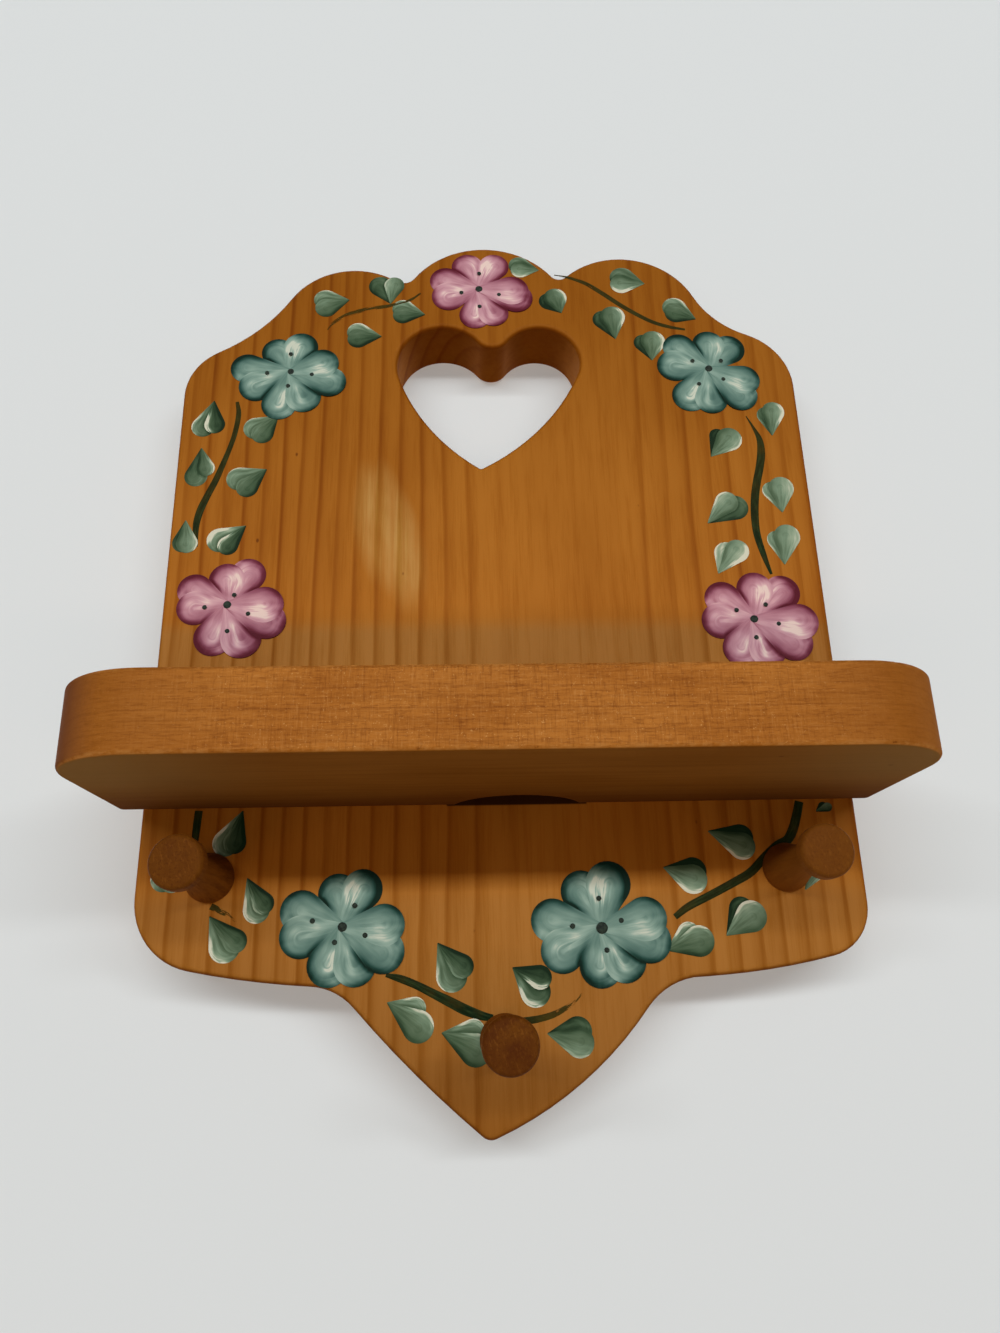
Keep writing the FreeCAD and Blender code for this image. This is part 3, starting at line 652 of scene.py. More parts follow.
def steel_finish(name, colour, roughness):
    steel = Finish(name, colour)
    x, y, z = steel.place()
    cloud = steel.noise(x / 2.5, y / 2.5, z / 2.5, 4.0, 0.6)
    steel.coat(cloud.rise(0.35, 0.8) * 0.6, STEEL_DULL)
    return steel.cover(
        Metallic=1.0,
        Roughness=roughness + cloud * 0.2,
        Normal=steel.bump(steel.noise(x / 3, y * 4, z * 4, 2.0), 0.01),
    )


for nodes, colour, roughness in STEEL:
    for node in nodes:
        dress(node, steel_finish(node + "_steel", colour, roughness))
    print("steel on", ", ".join(nodes))

# %% [markdown]
# ## A brush stroke
# Every flower and leaf here is made of one movement: a round brush, loaded dark on one side and light on
# the other, is set down, pressed and drawn to a point. The mark is a drop: a round end, straight sides and
# a small root. It is built as rings that shrink from the drop's edge to its spine, so that each point knows
# how far it is across, along and in from the edge. The finish uses those three to lay its streaks.

# %% Draw the outline of a drop
Lobe = namedtuple("Lobe", "across up radius cream deep light")
ARC_STEPS = 20
SIDE_STEPS = 5
ROOT_STEPS = 4


def drop_outline(length, root_radius, end_radius):
    """Points round a drop that lies along +X from its root, anticlockwise, and the spine's place and the
    drop's radius at each."""
    corner = math.pi / 2 + math.asin((end_radius - root_radius) / length)
    sides = np.linspace(1, 0, SIDE_STEPS + 2)[1:-1]
    turns = [(1, angle) for angle in np.linspace(-corner, corner, ARC_STEPS)]
    turns += [(share, corner) for share in sides]
    turns += [(0, angle) for angle in np.linspace(corner, 2 * math.pi - corner, ROOT_STEPS)]
    turns += [(share, -corner) for share in sides[::-1]]
    share, angle = np.array(turns).T
    spine = length * share
    radius = root_radius + (end_radius - root_radius) * share
    return np.stack([spine + radius * np.cos(angle), radius * np.sin(angle)], axis=1), spine, radius


print("points round a drop:", len(drop_outline(8.0, 1.0, 5.0)[1]))

# %% Measure how far a point lies from a drop
FAR_OFF = 9.0


def beyond_drop(point, root, lobe, root_radius):
    """How many millimetres a point lies outside a drop. It is less than 0 inside."""
    along = Vector((lobe.across - root[0], lobe.up - root[1]))
    length = along.length
    along.normalize()
    offset = Vector((point[0] - root[0], point[1] - root[1]))
    u, v = offset.dot(along), abs(offset.cross(along))
    lean = (lobe.radius - root_radius) / length
    flat = math.sqrt(1 - lean ** 2)
    if flat * u + lean * v < 0:
        return math.hypot(u, v) - root_radius
    if flat * u + lean * v > flat * length:
        return math.hypot(u - length, v) - lobe.radius
    return flat * v - lean * u - root_radius


def nearest_drop(point, drops):
    """How many millimetres a point lies from the nearest of the drops, at most FAR_OFF."""
    return min([FAR_OFF] + [beyond_drop(point, *drop) for drop in drops])


# %% [markdown]
# ## Gathering strokes into a piece
# The strokes of one flower become one mesh. Each lies a hair higher than the last, as paint does, and its
# edge turns down to the wood. Three vectors are kept at every point: the place within the stroke, the
# stroke's own load of cream, of dark, and its number, which makes no two strokes alike, and how far off the
# strokes are that lie over this one, those of other petals and its twin, for paint is darkest beside them.
# That last vector also counts the nested drops, from 0 at the spine to 1 at the edge.

# %% Gather strokes and other marks
RING_SHARES = (0.0, 0.07, 0.16, 0.28, 0.45, 0.68, 0.92)
FILM = 0.05
SHARP_EDGE = math.radians(50)


class Paint:
    """Marks of one colour, gathered into one mesh."""

    def __init__(self, name):
        self.name = name
        self.points, self.faces = [], []
        self.place, self.load, self.beside = [], [], []
        self.count = 0

    def rings(self, rings, place, load, over=(), twin=()):
        """Adds a closed patch: rings of points from the edge inwards, joined, and filled in the middle."""
        first, around = len(self.points), len(rings[0])
        for ring, places in zip(rings, place):
            self.points += [on_board(*point) for point in ring]
            self.load += [load] * around
            for point, (across, reach, edge, nest) in zip(ring, places):
                self.place.append((across, reach, edge))
                self.beside.append((nearest_drop(point, over), nearest_drop(point, twin), nest))
        last = first + (len(rings) - 1) * around
        for low in range(first, last, around):
            for i in range(around):
                j = (i + 1) % around
                self.faces.append((low + i, low + j, low + around + j, low + around + i))
        self.faces.append(tuple(range(last, last + around)))

    def stroke(self, root, lobe, root_radius, sibling, over, twin):
        """Adds one drop from root to lobe. sibling is the lobe beside it, which its inner side faces. over
        lists the drops that will lie over it, and twin those of them that belong to the sibling."""
        along = Vector((lobe.across - root[0], lobe.up - root[1]))
        length = along.length
        along.normalize()
        left = Vector((-along.y, along.x))
        towards = Vector((sibling.across - lobe.across, sibling.up - lobe.up))
        inner = math.copysign(1.0, towards.dot(left)) * lobe.light
        outline, spine, radius = drop_outline(length, root_radius, lobe.radius)
        middle = np.stack([spine, 0 * spine], axis=1)
        lift = FILM * (1 + self.count)
        rings, place = [], []
        for order, share in enumerate((0.0,) + RING_SHARES):
            flat = outline + (middle - outline) * share
            proud = lift + FILM * 0.5 * (1 - (1 - share) ** 2) if order else -FILM
            rings.append([(*spot, proud) for spot in np.array(root) + flat @ np.array([along, left])])
            across = inner * flat[:, 1] / radius
            reach = (flat[:, 0] + root_radius) / (length + lobe.radius + root_radius)
            place.append(np.stack([across, reach, radius * share, 1 - share + 0 * reach], axis=1))
        self.count += 1
        self.rings(rings, place, (lobe.cream, lobe.deep, float(self.count)), over, twin)

    def strokes(self, drops):
        """Adds drops in their order, each given as root, lobe, root radius and sibling."""
        for order, (root, lobe, root_radius, sibling) in enumerate(drops):
            later = drops[order + 1:]
            over = [drop[:3] for drop in later if drop[1] is not sibling]
            twin = [drop[:3] for drop in later if drop[1] is sibling]
            self.stroke(root, lobe, root_radius, sibling, over, twin)

    def piece(self, material, slot):
        """Makes the mesh, sets it on the part and hands it back."""
        mesh = bpy.data.meshes.new(self.name)
        mesh.from_pydata(self.points, [], self.faces)
        for name, values in (("place", self.place), ("load", self.load), ("beside", self.beside)):
            kept = mesh.attributes.new(name, "FLOAT_VECTOR", "POINT")
            kept.data.foreach_set("vector", np.array(values, dtype=np.float32).ravel())
        mesh.materials.append(material)
        mesh.shade_smooth()
        mesh.set_sharp_from_angle(angle=SHARP_EDGE)
        made = put(self.name, mesh)
        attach(made, "root")
        print(f"{self.name}: {len(self.faces)} faces")
        return made


# %% [markdown]
# ## Paint from a double-loaded brush
# The streaks in such a stroke run round its end like nested drops, because the bristles turn there. So the
# noise is drawn in the stroke's own measures, fine from the spine outwards and longer from root to end. The
# tone sinks at the rim, where the dark side of the brush ran, and cream sits where the light side pressed.
# A ramp turns the tone into the seven colours that the painter had mixed.

# %% Read the marks of a stroke
def brush_marks(paint):
    """The place and load of a stroke, three kinds of streak in it, and the count of its nested drops."""
    across, reach, edge = paint.marks("place")
    cream, deep, number = paint.marks("load")
    nest = paint.marks("beside")[2]
    broad = paint.noise(nest * 1.1 + across * 0.7, reach * 2.0, number * 3.7, 1.0)
    wavy = nest * 3.6 + across * 0.9 + (broad - 0.5) * 2.4
    bristle = paint.noise(wavy * 1.5, reach * 2.4, number * 5.1, 3.0, 0.5)
    fan = paint.noise(across * 2.0, reach * 1.6, number * 2.3, 1.0)
    return across, reach, edge, cream, deep, broad, bristle, fan, nest


def shade_beside(paint, width):
    """Two shades that sink to 0 in width millimetres, one beside other petals and one beside the twin."""
    return [(part / width).fall(0, 1) for part in paint.marks("beside")[:2]]


# %% Write the flowers' paints
RAMP_PLACES = (0.0, 0.17, 0.34, 0.52, 0.7, 0.87, 1.0)


def painted(paint, tone, shades, bristle):
    """Ends a paint: the ramp from tone to colour, and the relief that the bristles left."""
    paint.colour = paint.node("ShaderNodeValToRGB", {}, {0: tone})
    stops = paint.colour.socket.node.color_ramp.elements
    while len(stops) < len(shades):
        stops.new(0.5)
    for stop, place, shade in zip(stops, RAMP_PLACES, shades):
        stop.position, stop.color = place, rgb(*shade)
    return paint.cover(
        Roughness=0.46 + bristle * 0.15,
        Normal=paint.bump(bristle, 0.05),
        Specular_IOR_Level=0.07,
    )


def petal_paint(name, shades):
    paint = Finish(name)
    across, reach, edge, cream, deep, broad, bristle, fan, nest = brush_marks(paint)
    rim_width = 1.0 + 2.0 * deep * reach.rise(0.35, 0.8) + broad
    where = across.fall(0.1, 0.75).or_more(reach.rise(0.8, 0.96)) * reach.rise(0.22, 0.66)
    rim = (edge / rim_width).fall(0, 1) * where * (0.285 + deep * 0.12)
    turning = nest.rise(0.2, 0.95) * where * 0.16
    off = ((across - 0.3) / 0.68) ** 2 + ((reach - 0.46 - broad * 0.2) / 0.3) ** 2
    glow = off.fall(0, 1) * (bristle * 0.55 + broad * 0.45).rise(0.32, 0.66) * (0.1 + cream)
    other, twin = shade_beside(paint, 1.5)
    shade = other * reach.rise(0.22, 0.56) * 0.46 + twin * reach.rise(0.66, 0.95) * 0.32
    tone = 0.64 + across * 0.14 - turning
    tone = tone + (broad - 0.5) * 0.66 + (bristle - 0.5) * 0.26 + (fan - 0.5) * 0.4 * reach.rise(0.15, 0.5)
    tone = tone - rim.or_more(shade) - deep * reach.rise(0.4, 0.95) * 0.22 + glow * 0.4
    return painted(paint, tone, shades, bristle)


TEAL = petal_paint("teal_brushwork", [
    (0, 33, 23), (36, 68, 59), (68, 98, 89), (97, 127, 115),
    (124, 152, 138), (150, 175, 159), (200, 207, 187),
])
PINK = petal_paint("pink_brushwork", [
    (84, 26, 38), (108, 48, 62), (140, 80, 96), (172, 116, 128),
    (195, 144, 153), (212, 168, 171), (232, 206, 194),
])
print("flower paints:", TEAL.name, PINK.name)


# %% Write the leaves' paint
def leaf_paint(name, shades):
    paint = Finish(name)
    across, reach, edge, cream, deep, broad, bristle, fan = brush_marks(paint)[:-1]
    band = (edge / (0.6 + cream)).fall(0, 1) * across.rise(0.0, 0.6) * reach.rise(0.15, 0.65)
    band = band * (0.35 + bristle.rise(0.34, 0.58) * 0.65) * cream
    dark = (edge / 1.3).fall(0, 1) * across.fall(-0.6, 0.1) * (0.07 + deep * 0.23)
    tone = 0.63 - deep * 0.48 + across * 0.13
    tone = tone + (broad - 0.5) * 0.5 + (bristle - 0.5) * 0.3 + (fan - 0.5) * 0.4
    tone = tone - dark - shade_beside(paint, 0.9)[1] * 0.18 + band * 0.85
    return painted(paint, tone, shades, bristle)


LEAF = leaf_paint("leaf_brushwork", [
    (20, 38, 20), (44, 62, 41), (66, 86, 62), (89, 108, 83),
    (116, 138, 112), (154, 170, 143), (210, 210, 185),
])
print("leaf paint:", LEAF.name)

# %% [markdown]
# ## Flowers
# Each flower has four petals, and each petal is two strokes side by side, which makes its heart shape. The
# petals differ as they do from a quick hand, so their places are listed one by one, measured from the
# flower's middle: each stroke's end across and up, its radius, and how much cream and dark it carries. In a
# pair the second stroke lies over the first, and their light sides meet.

# %% List the flowers
Flower = namedtuple("Flower", "colour place across up petals dots dot_radius")
FLOWERS = [
    Flower("pink", "top", -3.8, 162.5, [
        ((-3.5, 8.5, 5, 0.4, 0.3), (4.8, 8.8, 4.7, 0.8, 0.2)),
        ((-10.3, 3.2, 5, 0.3, 0.3), (-9.5, -2.7, 5.2, 0.7, 0.2)),
        ((-1.3, -9.7, 4.9, 0.7, 0.4), (4.3, -9, 4.7, 0.3, 0.3)),
        ((11.5, -3.3, 5.2, 0.2, 0.5), (10.2, -0.5, 5.3, 0.4, 0.4)),
    ], [(0.1, 6), (-5.5, -1.4), (6.2, -2.1), (0.1, -6.6)], 1.1),
    Flower("teal", "upper_left", -60.7, 131.8, [
        ((-4.2, 7, 4.9, 0.1, 0.6), (2.6, 8.8, 5.2, 1, 0.6)),
        ((-13, 1.3, 5, 0.2, 0.5), (-10, -5, 5.2, 0.5, 0.3)),
        ((-3, -11.3, 5.2, 0.8, 0.3), (4, -8.7, 5.3, 0.4, 0.2)),
        ((11.5, -3.5, 5.1, 0.4, 0.4), (9.3, 3, 4.9, 0.6, 0.4)),
    ], [(-7, -0.5), (6.3, -1), (-0.6, -5), (-0.3, 6.3)], 0.95),
    Flower("teal", "upper_right", 66, 133.2, [
        ((6.8, 7.2, 5.1, 0.1, 0.9), (0.7, 8.8, 5, 0.4, 0.5)),
        ((-8.5, 7.7, 5, 0.4, 0.4), (-10.3, 1.2, 5.5, 0.4, 0.4)),
        ((-6.5, -9.5, 5.5, 1, 0.4), (-0.2, -10.8, 5, 0.4, 0.4)),
        ((8.8, -9.5, 5.2, 0.3, 0.3), (10.3, -4, 5, 0.5, 0.3)),
    ], [(-4.8, 2.8), (4, 2.9), (4.1, -3.8), (-3.5, -5.5)], 1.1),
    Flower("pink", "left", -74.3, 56.2, [
        ((5, 9, 5, 0.6, 0.4), (-0.7, 7.5, 5, 0.6, 0.4)),
        ((-9.2, 4.5, 4.8, 0.3, 0.4), (-8.8, -0.8, 5, 0.5, 0.3)),
        ((-3.2, -9.5, 5.3, 0.4, 0.9), (4.3, -10, 5.5, 0.7, 0.7)),
        ((11, -4.8, 5.2, 0.4, 0.5), (10, 0, 5.3, 0.8, 0.3)),
    ], [(1.7, 2.9), (-6.1, -0.7), (5.8, -2.7), (0.5, -7.7)], 1.1),
    Flower("pink", "right", 71, 50.8, [
        ((8.8, 8, 5.2, 0.6, 1), (1.2, 9, 5.2, 0.8, 0.4)),
        ((-8.2, 6.3, 5.1, 0.4, 0.5), (-9.3, -0.3, 5.4, 0.4, 0.5)),
        ((-4.3, -8.5, 5.3, 0.4, 0.3), (2.8, -9, 5.2, 0.8, 0.3)),
        ((10.3, -7, 5.4, 0.3, 0.4), (12.7, -0.9, 5.3, 0.8, 0.2)),
    ], [(3.7, 4.3), (-4.7, 2.7), (6.7, -1.5), (0, -5.5)], 1.1),
    Flower("teal", "lower_left", -40.3, -29.8, [
        ((-1.3, 8, 5, 0.3, 0.4), (4.7, 9, 5, 0.9, 1)),
        ((-10.2, 3.8, 5.3, 0.4, 0.2), (-10.2, -2.2, 5.2, 0.4, 0.2)),
        ((-3.2, -9, 5.2, 0.9, 0.5), (3.2, -9, 5.2, 0.3, 0.3)),
        ((10, -6, 5.3, 0.3, 0.3), (10.2, 0.3, 5.1, 0.4, 0.2)),
    ], [(2.9, 5.1), (-7.4, 1.6), (5.6, -2.1), (-1.8, -3.6)], 1.15),
    Flower("teal", "lower_right", 23.8, -31.3, [
        ((-4.7, 9, 5.2, 0.6, 0.5), (2.2, 10.7, 5.7, 1, 1)),
        ((-12.2, 2, 5.4, 0.3, 0.2), (-10, -5.3, 5.4, 0.5, 0.1)),
        ((-0.7, -9, 5.3, 0.5, 0.8), (5.3, -8, 5.2, 0.6, 0.5)),
        ((11.7, -3.3, 5.4, 0.3, 0.2), (11, 2, 5.4, 0.4, 0.2)),
    ], [(-0.4, 7.2), (-7.3, 0.6), (4.9, 1.7), (0.9, -5.3)], 1.45),
]
print("flowers:", len(FLOWERS))

# %% Paint the flowers
PETAL_PAINTS = {"teal": TEAL, "pink": PINK}
ROOT_RADIUS = 1.0


def paint_flower(flower):
    root = (flower.across, flower.up)
    drops = []
    for pair in flower.petals:
        first, second = [Lobe(root[0] + across, root[1] + up, *load, light=1) for across, up, *load in pair]
        drops += [(root, first, ROOT_RADIUS, second), (root, second, ROOT_RADIUS, first)]
    paint = Paint(f"{flower.colour}_flower_{flower.place}")
    paint.strokes(drops)
    return paint.piece(PETAL_PAINTS[flower.colour], flower.colour + "_paint")


for flower in FLOWERS:
    paint_flower(flower)

# %% [markdown]
# ## Dots
# The hearts of the flowers are drops of nearly black paint, put down with the end of the brush. Each dried
# to a low dome with a soft edge.

# %% Put down the dots
DOT_SIDES = 16
DOT_RINGS = ((1.0, -0.1), (1.0, 0.02), (0.9, 0.07), (0.7, 0.13), (0.42, 0.17), (0.12, 0.18))
DOT_DARK, DOT_DUSTY = rgb(14, 22, 16), rgb(44, 54, 44)
SMALL_DOT = 0.64
PETALS_DEEP = FILM * 9


def dot_finish():
    paint = Finish("dark_dots", DOT_DARK)
    x, y, z = paint.place()
    cloud = paint.noise(x * 1.2, y, z * 1.2, 2.0)
    paint.coat(cloud.rise(0.3, 0.7), DOT_DUSTY)
    return paint.cover(Roughness=0.55 + cloud * 0.1, Specular_IOR_Level=0.15)


def dot(paint, across, up, radius):
    turns = [2 * math.pi * step / DOT_SIDES for step in range(DOT_SIDES)]
    rings, place = [], []
    for share, height in DOT_RINGS:
        out, proud = radius * share, PETALS_DEEP + radius * height
        rings.append([(across + out * math.cos(turn), up + out * math.sin(turn), proud) for turn in turns])
        place.append([(0.0, share, height, 0.0)] * DOT_SIDES)
    paint.rings(rings, place, (0.0, 0.0, 0.0))


dark_dots = dot_finish()
for flower in FLOWERS:
    dots = Paint(f"{flower.colour}_flower_{flower.place}_dots")
    dot(dots, flower.across, flower.up, flower.dot_radius)
    for across, up in flower.dots:
        dot(dots, flower.across + across, flower.up + up, SMALL_DOT)
    dots.piece(dark_dots, "dot_paint")

# %% [markdown]
# ## Leaves
# A leaf is two strokes that share a tip. The brush was loaded with green and white, so most leaves have one
# dark half and a cream edge. Each line here gives the tip, then the two strokes: where each ends, its
# radius, how much cream and dark it carries, and on which side its light lies, 1 for the seam between the
# two and -1 for the outer edge. A few strokes are pale all over, so their dark is less than 0.

# %% List the leaves
LEAVES = {
    "leaves_upper_left": [
        ((-44.2, 158.3), (-51.3, 158.4, 3.6, 0.4, 0.1, -1), (-51, 155.4, 3.4, 0.1, 0.4, 1)),
        ((-31.3, 157.2), (-34.4, 163.5, 3.7, 0.1, 0.6, 1), (-30.2, 163.9, 3.1, 0.3, 0.1, 1)),
        ((-20.8, 153), (-27.3, 155, 3.4, 0.5, 0.1, -1), (-27.5, 152.7, 3, 0.1, 0.6, 1)),
        ((-34, 144.8), (-41, 146.3, 3.4, 0.7, 0.1, -1), (-41, 143.9, 3.2, 0.1, 0.7, 1)),
    ],
    "leaves_upper_right": [
        ((15, 170.2), (9, 171.9, 3.3, 0.2, 0.3, -1), (9.3, 170.3, 3, 0.5, 0.1, -1)),
        ((48.3, 165.2), (41.6, 167.3, 4, 0.1, 0.4, -1), (41, 164.9, 3.4, 0.9, 0.1, -1)),
        ((21.6, 154), (17.9, 158.2, 3.1, 0.1, 0.9, 1), (20, 159.4, 3.6, 0.8, 0.4, -1)),
        ((38, 144.4), (34.6, 151.4, 3.3, 0.1, 0.7, 1), (37.6, 152.4, 3.9, 0.9, 0.3, -1)),
        ((48.8, 136.6), (46.6, 142.8, 3, 0.1, 0.7, 1), (49.6, 143.3, 3.8, 0.9, 0.2, -1)),
        ((63.5, 151.8), (57.3, 155.9, 3.8, 0.6, 0.1, -1), (57.5, 153.9, 3.4, 0.1, 0.6, 1)),
    ],
    "leaves_left": [
        ((-82.7, 121.5), (-85.3, 112.9, 3.4, 0.8, 0.4, -1), (-82, 113.6, 3, 1.3, 0.9, 1)),
        ((-63.8, 116.4), (-70, 112.3, 3.6, 0.3, 0.1, -1), (-68, 110.6, 3.3, 0.1, 0.5, 1)),
        ((-85.2, 105.5), (-86.1, 96.4, 3.3, 0.1, 0.4, 1), (-83.5, 99, 2.6, 0.6, 0.4, -1)),
        ((-66.2, 98.5), (-73.7, 95.5, 3.7, 0.4, 0.1, -1), (-71.3, 92.8, 3.2, 0.2, 0.6, 1)),
        ((-87.8, 82), (-88, 75.3, 3, 0.1, 0.3, 1), (-86.9, 75.1, 3, 0.4, 0.1, -1)),
        ((-71, 80.3), (-77.8, 76, 3.7, 1.5, 0.1, -1), (-75.5, 74.3, 2.9, 1, 0.8, 1)),
    ],
    "leaves_right": [
        ((83, 110), (82, 116.8, 2.9, 0.4, 0.7, -1), (84.2, 118, 3.4, 0.8, 0.1, -1)),
        ((64, 102.8), (66.4, 109.7, 2.4, 0, 1, 1), (69.8, 108.5, 3.9, 0.5, 0.1, -1)),
        ((83, 84.3), (80.8, 91.2, 2.9, 0.5, 0.1, -1), (83.6, 92, 3.7, 0.2, -0.1, -1)),
        ((61, 80.8), (69.3, 85.7, 3.9, 0.1, 0.5, 1), (67, 87.4, 3.4, 0.4, 0, -1)),
        ((81.7, 67.7), (80.3, 75.3, 2.8, 0.4, 0.1, -1), (83.4, 76.3, 3.8, 0.2, -0.1, -1)),
        ((62.5, 65), (65.4, 71, 3.6, 0.3, -0.4, -1), (68.4, 71.8, 3.5, 1, -0.2, -1)),
    ],
    "leaves_lower_left": [
        ((-66.5, -0.8), (-70.2, -8.7, 3.4, 0.9, 0.1, -1), (-68, -8.6, 2.9, 0.5, 1, 1)),
        ((-64.2, -17.7), (-61.6, -25.3, 3.3, 1, 0.1, -1), (-60, -23.7, 2.7, 0.6, 0.8, 1)),
        ((-72.8, -26.8), (-68.8, -34, 3.8, 1, 0.1, -1), (-66.3, -32.6, 2.9, 0.2, 0.6, 1)),
        ((-81, -10.5), (-84.9, -17.3, 3.3, 0.6, 0.1, -1), (-82.8, -17.6, 3.2, 0.8, 0.1, -1)),
    ],
    "leaves_lower_right": [
        ((52.8, -7.8), (60.8, -9.5, 3.4, 0.3, 1, 1), (61, -11.7, 3.5, 0.7, 0.3, -1)),
        ((40.5, -16.8), (47.8, -17.8, 3.5, 0, 1, 1), (47.6, -19.8, 3.7, 0.8, 0.1, -1)),
        ((55, -33.6), (59.2, -27.4, 3.1, 0.1, 0.7, 1), (61.6, -29.2, 3.9, 0.6, 0.1, 1)),
        ((39.8, -36.9), (45.4, -33, 2.8, 1, 0.2, -1), (47.9, -34.9, 3.8, 0.6, 0.4, 1)),
        ((76.2, -22.8), (80.6, -16.4, 2.9, 0.3, 0.1, 1), (81, -17, 2.5, 0.4, 0.1, -1)),
        ((81.6, -3), (83.4, -1.9, 1.3, 0.1, 1, 1), (84.6, -2, 1.2, 0.1, 0.6, 1)),
    ],
    "leaves_bottom": [
        ((-16.8, -34.2), (-13.5, -41.9, 3.8, 0.8, 0.3, -1), (-11, -39.6, 2.9, 0.4, 0.8, 1)),
        ((-28.9, -47.7), (-22.4, -49.1, 2.7, 0.6, 0.1, -1), (-21.6, -53.2, 3.8, 0.6, 0.3, 1)),
        ((-15.8, -54.8), (-8.4, -54.5, 2.8, 0.9, 0.3, -1), (-7.9, -58.8, 3.8, 0.5, 0.4, 1)),
        ((1.5, -40.3), (6.8, -45.9, 3.7, 1.6, 0.6, -1), (8, -42.6, 2.9, 1.4, 1, 1)),
        ((9.5, -55.5), (16.6, -55.2, 3.5, 0.2, 0.5, 1), (17, -57.7, 3.5, 0.4, 0.3, -1)),
    ],
}
print("leaves:", sum(len(leaves) for leaves in LEAVES.values()))

# %% Paint the leaves
TIP_RADIUS = 0.2

for name, leaves in LEAVES.items():
    paint = Paint(name)
    for tip, first, second in leaves:
        paint.count = 0
        first, second = Lobe(*first), Lobe(*second)
        paint.strokes([(tip, first, TIP_RADIUS, second), (tip, second, TIP_RADIUS, first)])
    paint.piece(LEAF, "leaf_paint")

# %% [markdown]
# ## Vines
# The vines are single pulls of a thin liner brush, thick where it was pressed and thin where it was lifted.
# A smooth curve runs through a few given points, each with its width, and a ribbon of paint follows it.
# Where the brush ran dry it left only some of its streaks, and those are thin and brown. So each vine has
# two numbers from 0 to 1, how dry the brush was at its start and at its end.

# %% List the vines
Vine = namedtuple("Vine", "name dry points")
VINES = [
    Vine("vine_upper_left", (0.8, 0.6), [
        (-50.4, 147.2, 0.6), (-48.5, 150, 1.2), (-44, 153, 1.5), (-38, 155, 1.4),
        (-32, 156.2, 1.2), (-26, 158, 1), (-22, 161, 0.6),
    ]),
    Vine("vine_upper_right", (0.6, 0.4), [
        (20, 168.3, 0.4), (25, 167.2, 1), (30, 165, 1.4), (35, 161.3, 1.5), (40, 157.2, 1.5),
        (45, 153.6, 1.4), (50, 150.6, 1.3), (55, 148.8, 1.2), (60, 147.8, 0.7),
    ]),
    Vine("vine_left", (0.45, 0.05), [
        (-76, 121.4, 1), (-75.3, 117, 1.5), (-76, 110.5, 1.5), (-77.3, 105, 1.5),
        (-78.8, 100, 1.7), (-80.4, 95, 1.9), (-82.4, 90, 2), (-84.1, 85, 2.1), (-84.8, 80, 1.8),
        (-84.2, 74, 0.8),
    ]),
    Vine("vine_right", (0.35, 0), [
        (75.8, 116.5, 0.3), (77.6, 112.5, 0.9), (79, 108.5, 1.8), (79, 104, 2.4), (78, 99, 2.4),
        (76.6, 94, 2.4), (75.5, 89, 2.4), (74.8, 83, 2.3), (74.8, 77, 2.1), (76, 70.5, 1.7),
        (77.5, 64.5, 0.8),
    ]),
    Vine("vine_lower_left", (0.1, 0.1), [
        (-77.6, -0.4, 2), (-77.8, -4, 2), (-78, -8, 1.8), (-78.4, -13.2, 1.4),
    ]),
    Vine("vine_lower_right", (0.1, 0.2), [
        (77.3, -0.4, 2.3), (76.2, -4, 2.4), (74.8, -7.6, 2.5), (73, -10.3, 2.4), (70, -11.8, 2.2),
        (66.2, -15, 2.2), (62.5, -18.4, 2.2), (58, -20.8, 2.1), (52, -23.7, 2), (46, -26.5, 1.9),
        (42.3, -29, 1.5),
    ]),
    Vine("vine_bottom_left", (0.1, 0), [
        (-29.5, -41.3, 0.9), (-26, -42.2, 1.8), (-22, -43.8, 1.9), (-18, -45.8, 2.1),
        (-14, -47.8, 2.4), (-10, -49.8, 2.5), (-6, -51.2, 2), (-3.6, -51.6, 1.4),
    ]),
    Vine("vine_bottom_right", (0.1, 1), [
        (2.4, -52.6, 1.6), (5.3, -52.4, 1.7), (8, -52, 1.6), (11, -51.2, 1.5), (14, -49.8, 1.2),
        (16.4, -48.2, 0.9), (18.2, -46.4, 0.5),
    ]),
    Vine("vine_twig_left", (0.5, 1), [
        (-72.8, -24.2, 1.6), (-70.6, -25.3, 1.5), (-68.4, -26.4, 1.1), (-66.2, -28.2, 0.7),
    ]),
]
print("vines:", len(VINES))

# %% Write the vines' paint
VINE_DARK, VINE_WORN, VINE_THIN = rgb(12, 30, 9), rgb(42, 58, 32), rgb(80, 60, 14)


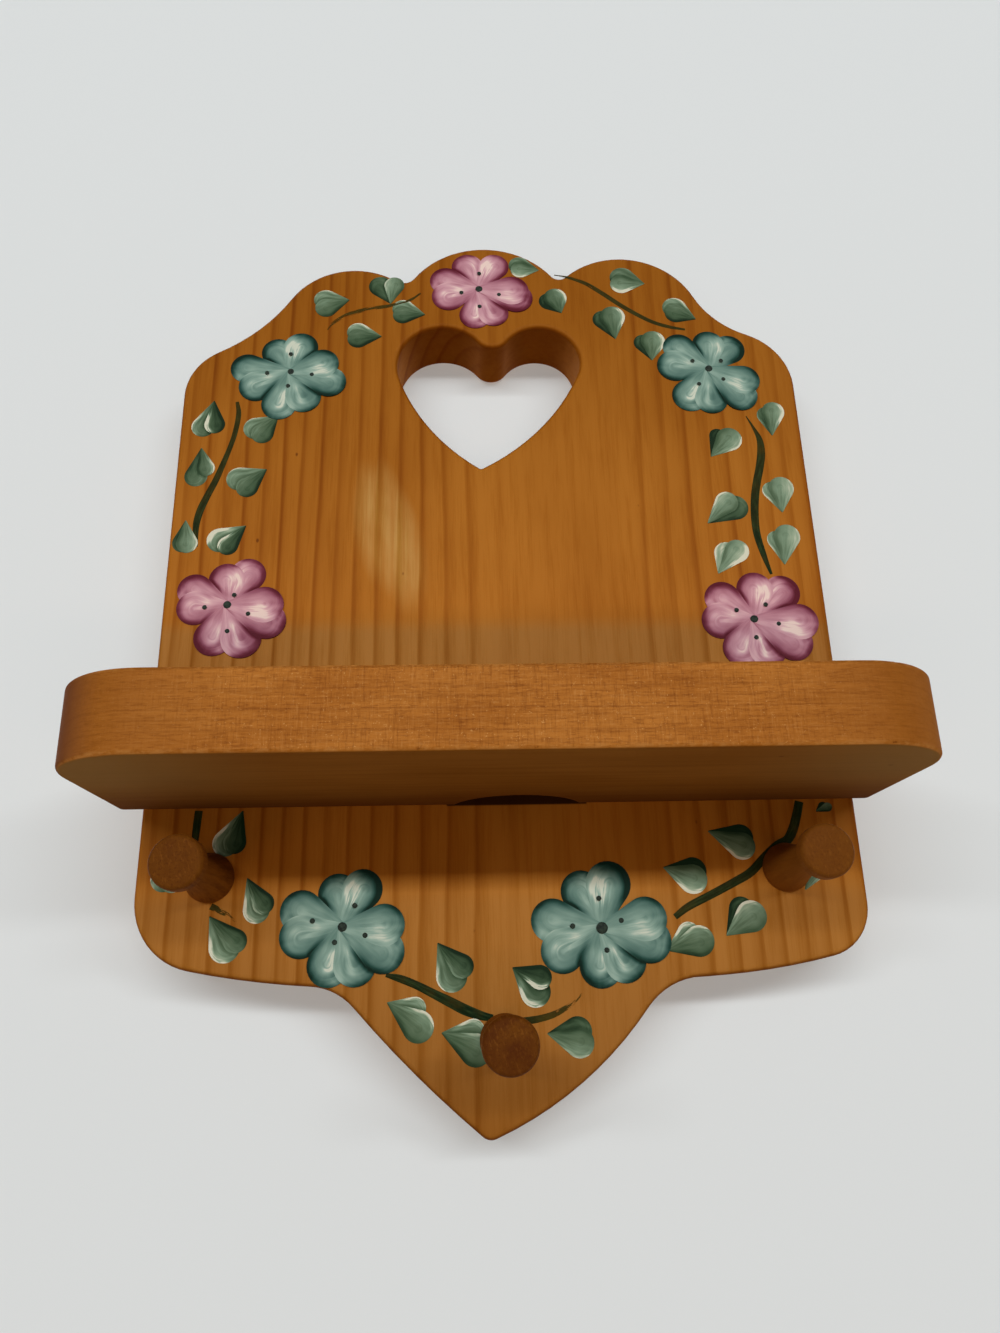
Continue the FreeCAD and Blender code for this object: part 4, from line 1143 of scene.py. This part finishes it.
def vine_finish():
    paint = Finish("vine_liner", VINE_DARK)
    across, reach = paint.marks("place")[:2]
    dry = paint.marks("load")[0]
    x, y, z = paint.place()
    bristle = paint.noise(across * 2.4, reach * 0.22, dry * 9.0, 3.0, 0.6)
    pool = paint.noise(x / 4, 0.0, z / 4, 2.0)
    paint.coat(bristle.rise(0.4, 0.75), VINE_WORN)
    paint.coat(pool.rise(0.4, 0.75) * 0.25 + dry * 0.7, VINE_THIN)
    torn = dry * 0.72
    return paint.cover(
        Alpha=(bristle + (1 - across.size()) * 0.12).rise(torn - 0.08, torn + 0.12),
        Roughness=0.5 + bristle * 0.12,
        Normal=paint.bump(bristle, 0.04),
        Specular_IOR_Level=0.05,
    )


liner = vine_finish()
print("vine paint:", liner.name)

# %% Paint the vines
SPAN_STEPS = 6
VINE_SHARES = (-1.0, -0.6, 0.0, 0.6, 1.0)


def smooth_line(points, steps):
    """A smooth curve through the points, with steps pieces to each span."""
    ends = [2 * points[0] - points[1]] + list(points) + [2 * points[-1] - points[-2]]
    line = []
    for before, start, finish, after in zip(ends, ends[1:], ends[2:], ends[3:]):
        for share in np.arange(steps) / steps:
            pull = (finish - before) * share
            bend = (2 * before - 5 * start + 4 * finish - after) * share ** 2
            twist = (3 * start - before - 3 * finish + after) * share ** 3
            line.append(start + 0.5 * (pull + bend + twist))
    return np.array(line + [points[-1]])


def paint_vine(vine):
    paint = Paint(vine.name)
    line = smooth_line(np.array(vine.points, dtype=float), SPAN_STEPS)
    ahead = np.gradient(line[:, :2], axis=0)
    ahead /= np.linalg.norm(ahead, axis=1)[:, None]
    travel = np.concatenate([[0], np.cumsum(np.linalg.norm(np.diff(line[:, :2], axis=0), axis=1))])
    dryness = np.interp(travel, (0, travel[-1]), vine.dry)
    for (across, up, width), (dx, dz), reach, dry in zip(line, ahead, travel, dryness):
        for share in VINE_SHARES:
            offset = share * width / 2
            paint.points.append(on_board(across - dz * offset, up + dx * offset, FILM * (1.6 - share ** 2)))
            paint.place.append((share, reach, 0.0))
            paint.load.append((dry, 0.0, 0.0))
            paint.beside.append((FAR_OFF, FAR_OFF, 0.0))
    sides = len(VINE_SHARES)
    for step in range(len(line) - 1):
        for low in range(step * sides, (step + 1) * sides - 1):
            paint.faces.append((low, low + sides, low + sides + 1, low + 1))
    return paint.piece(liner, "vine_paint")


for vine in VINES:
    paint_vine(vine)
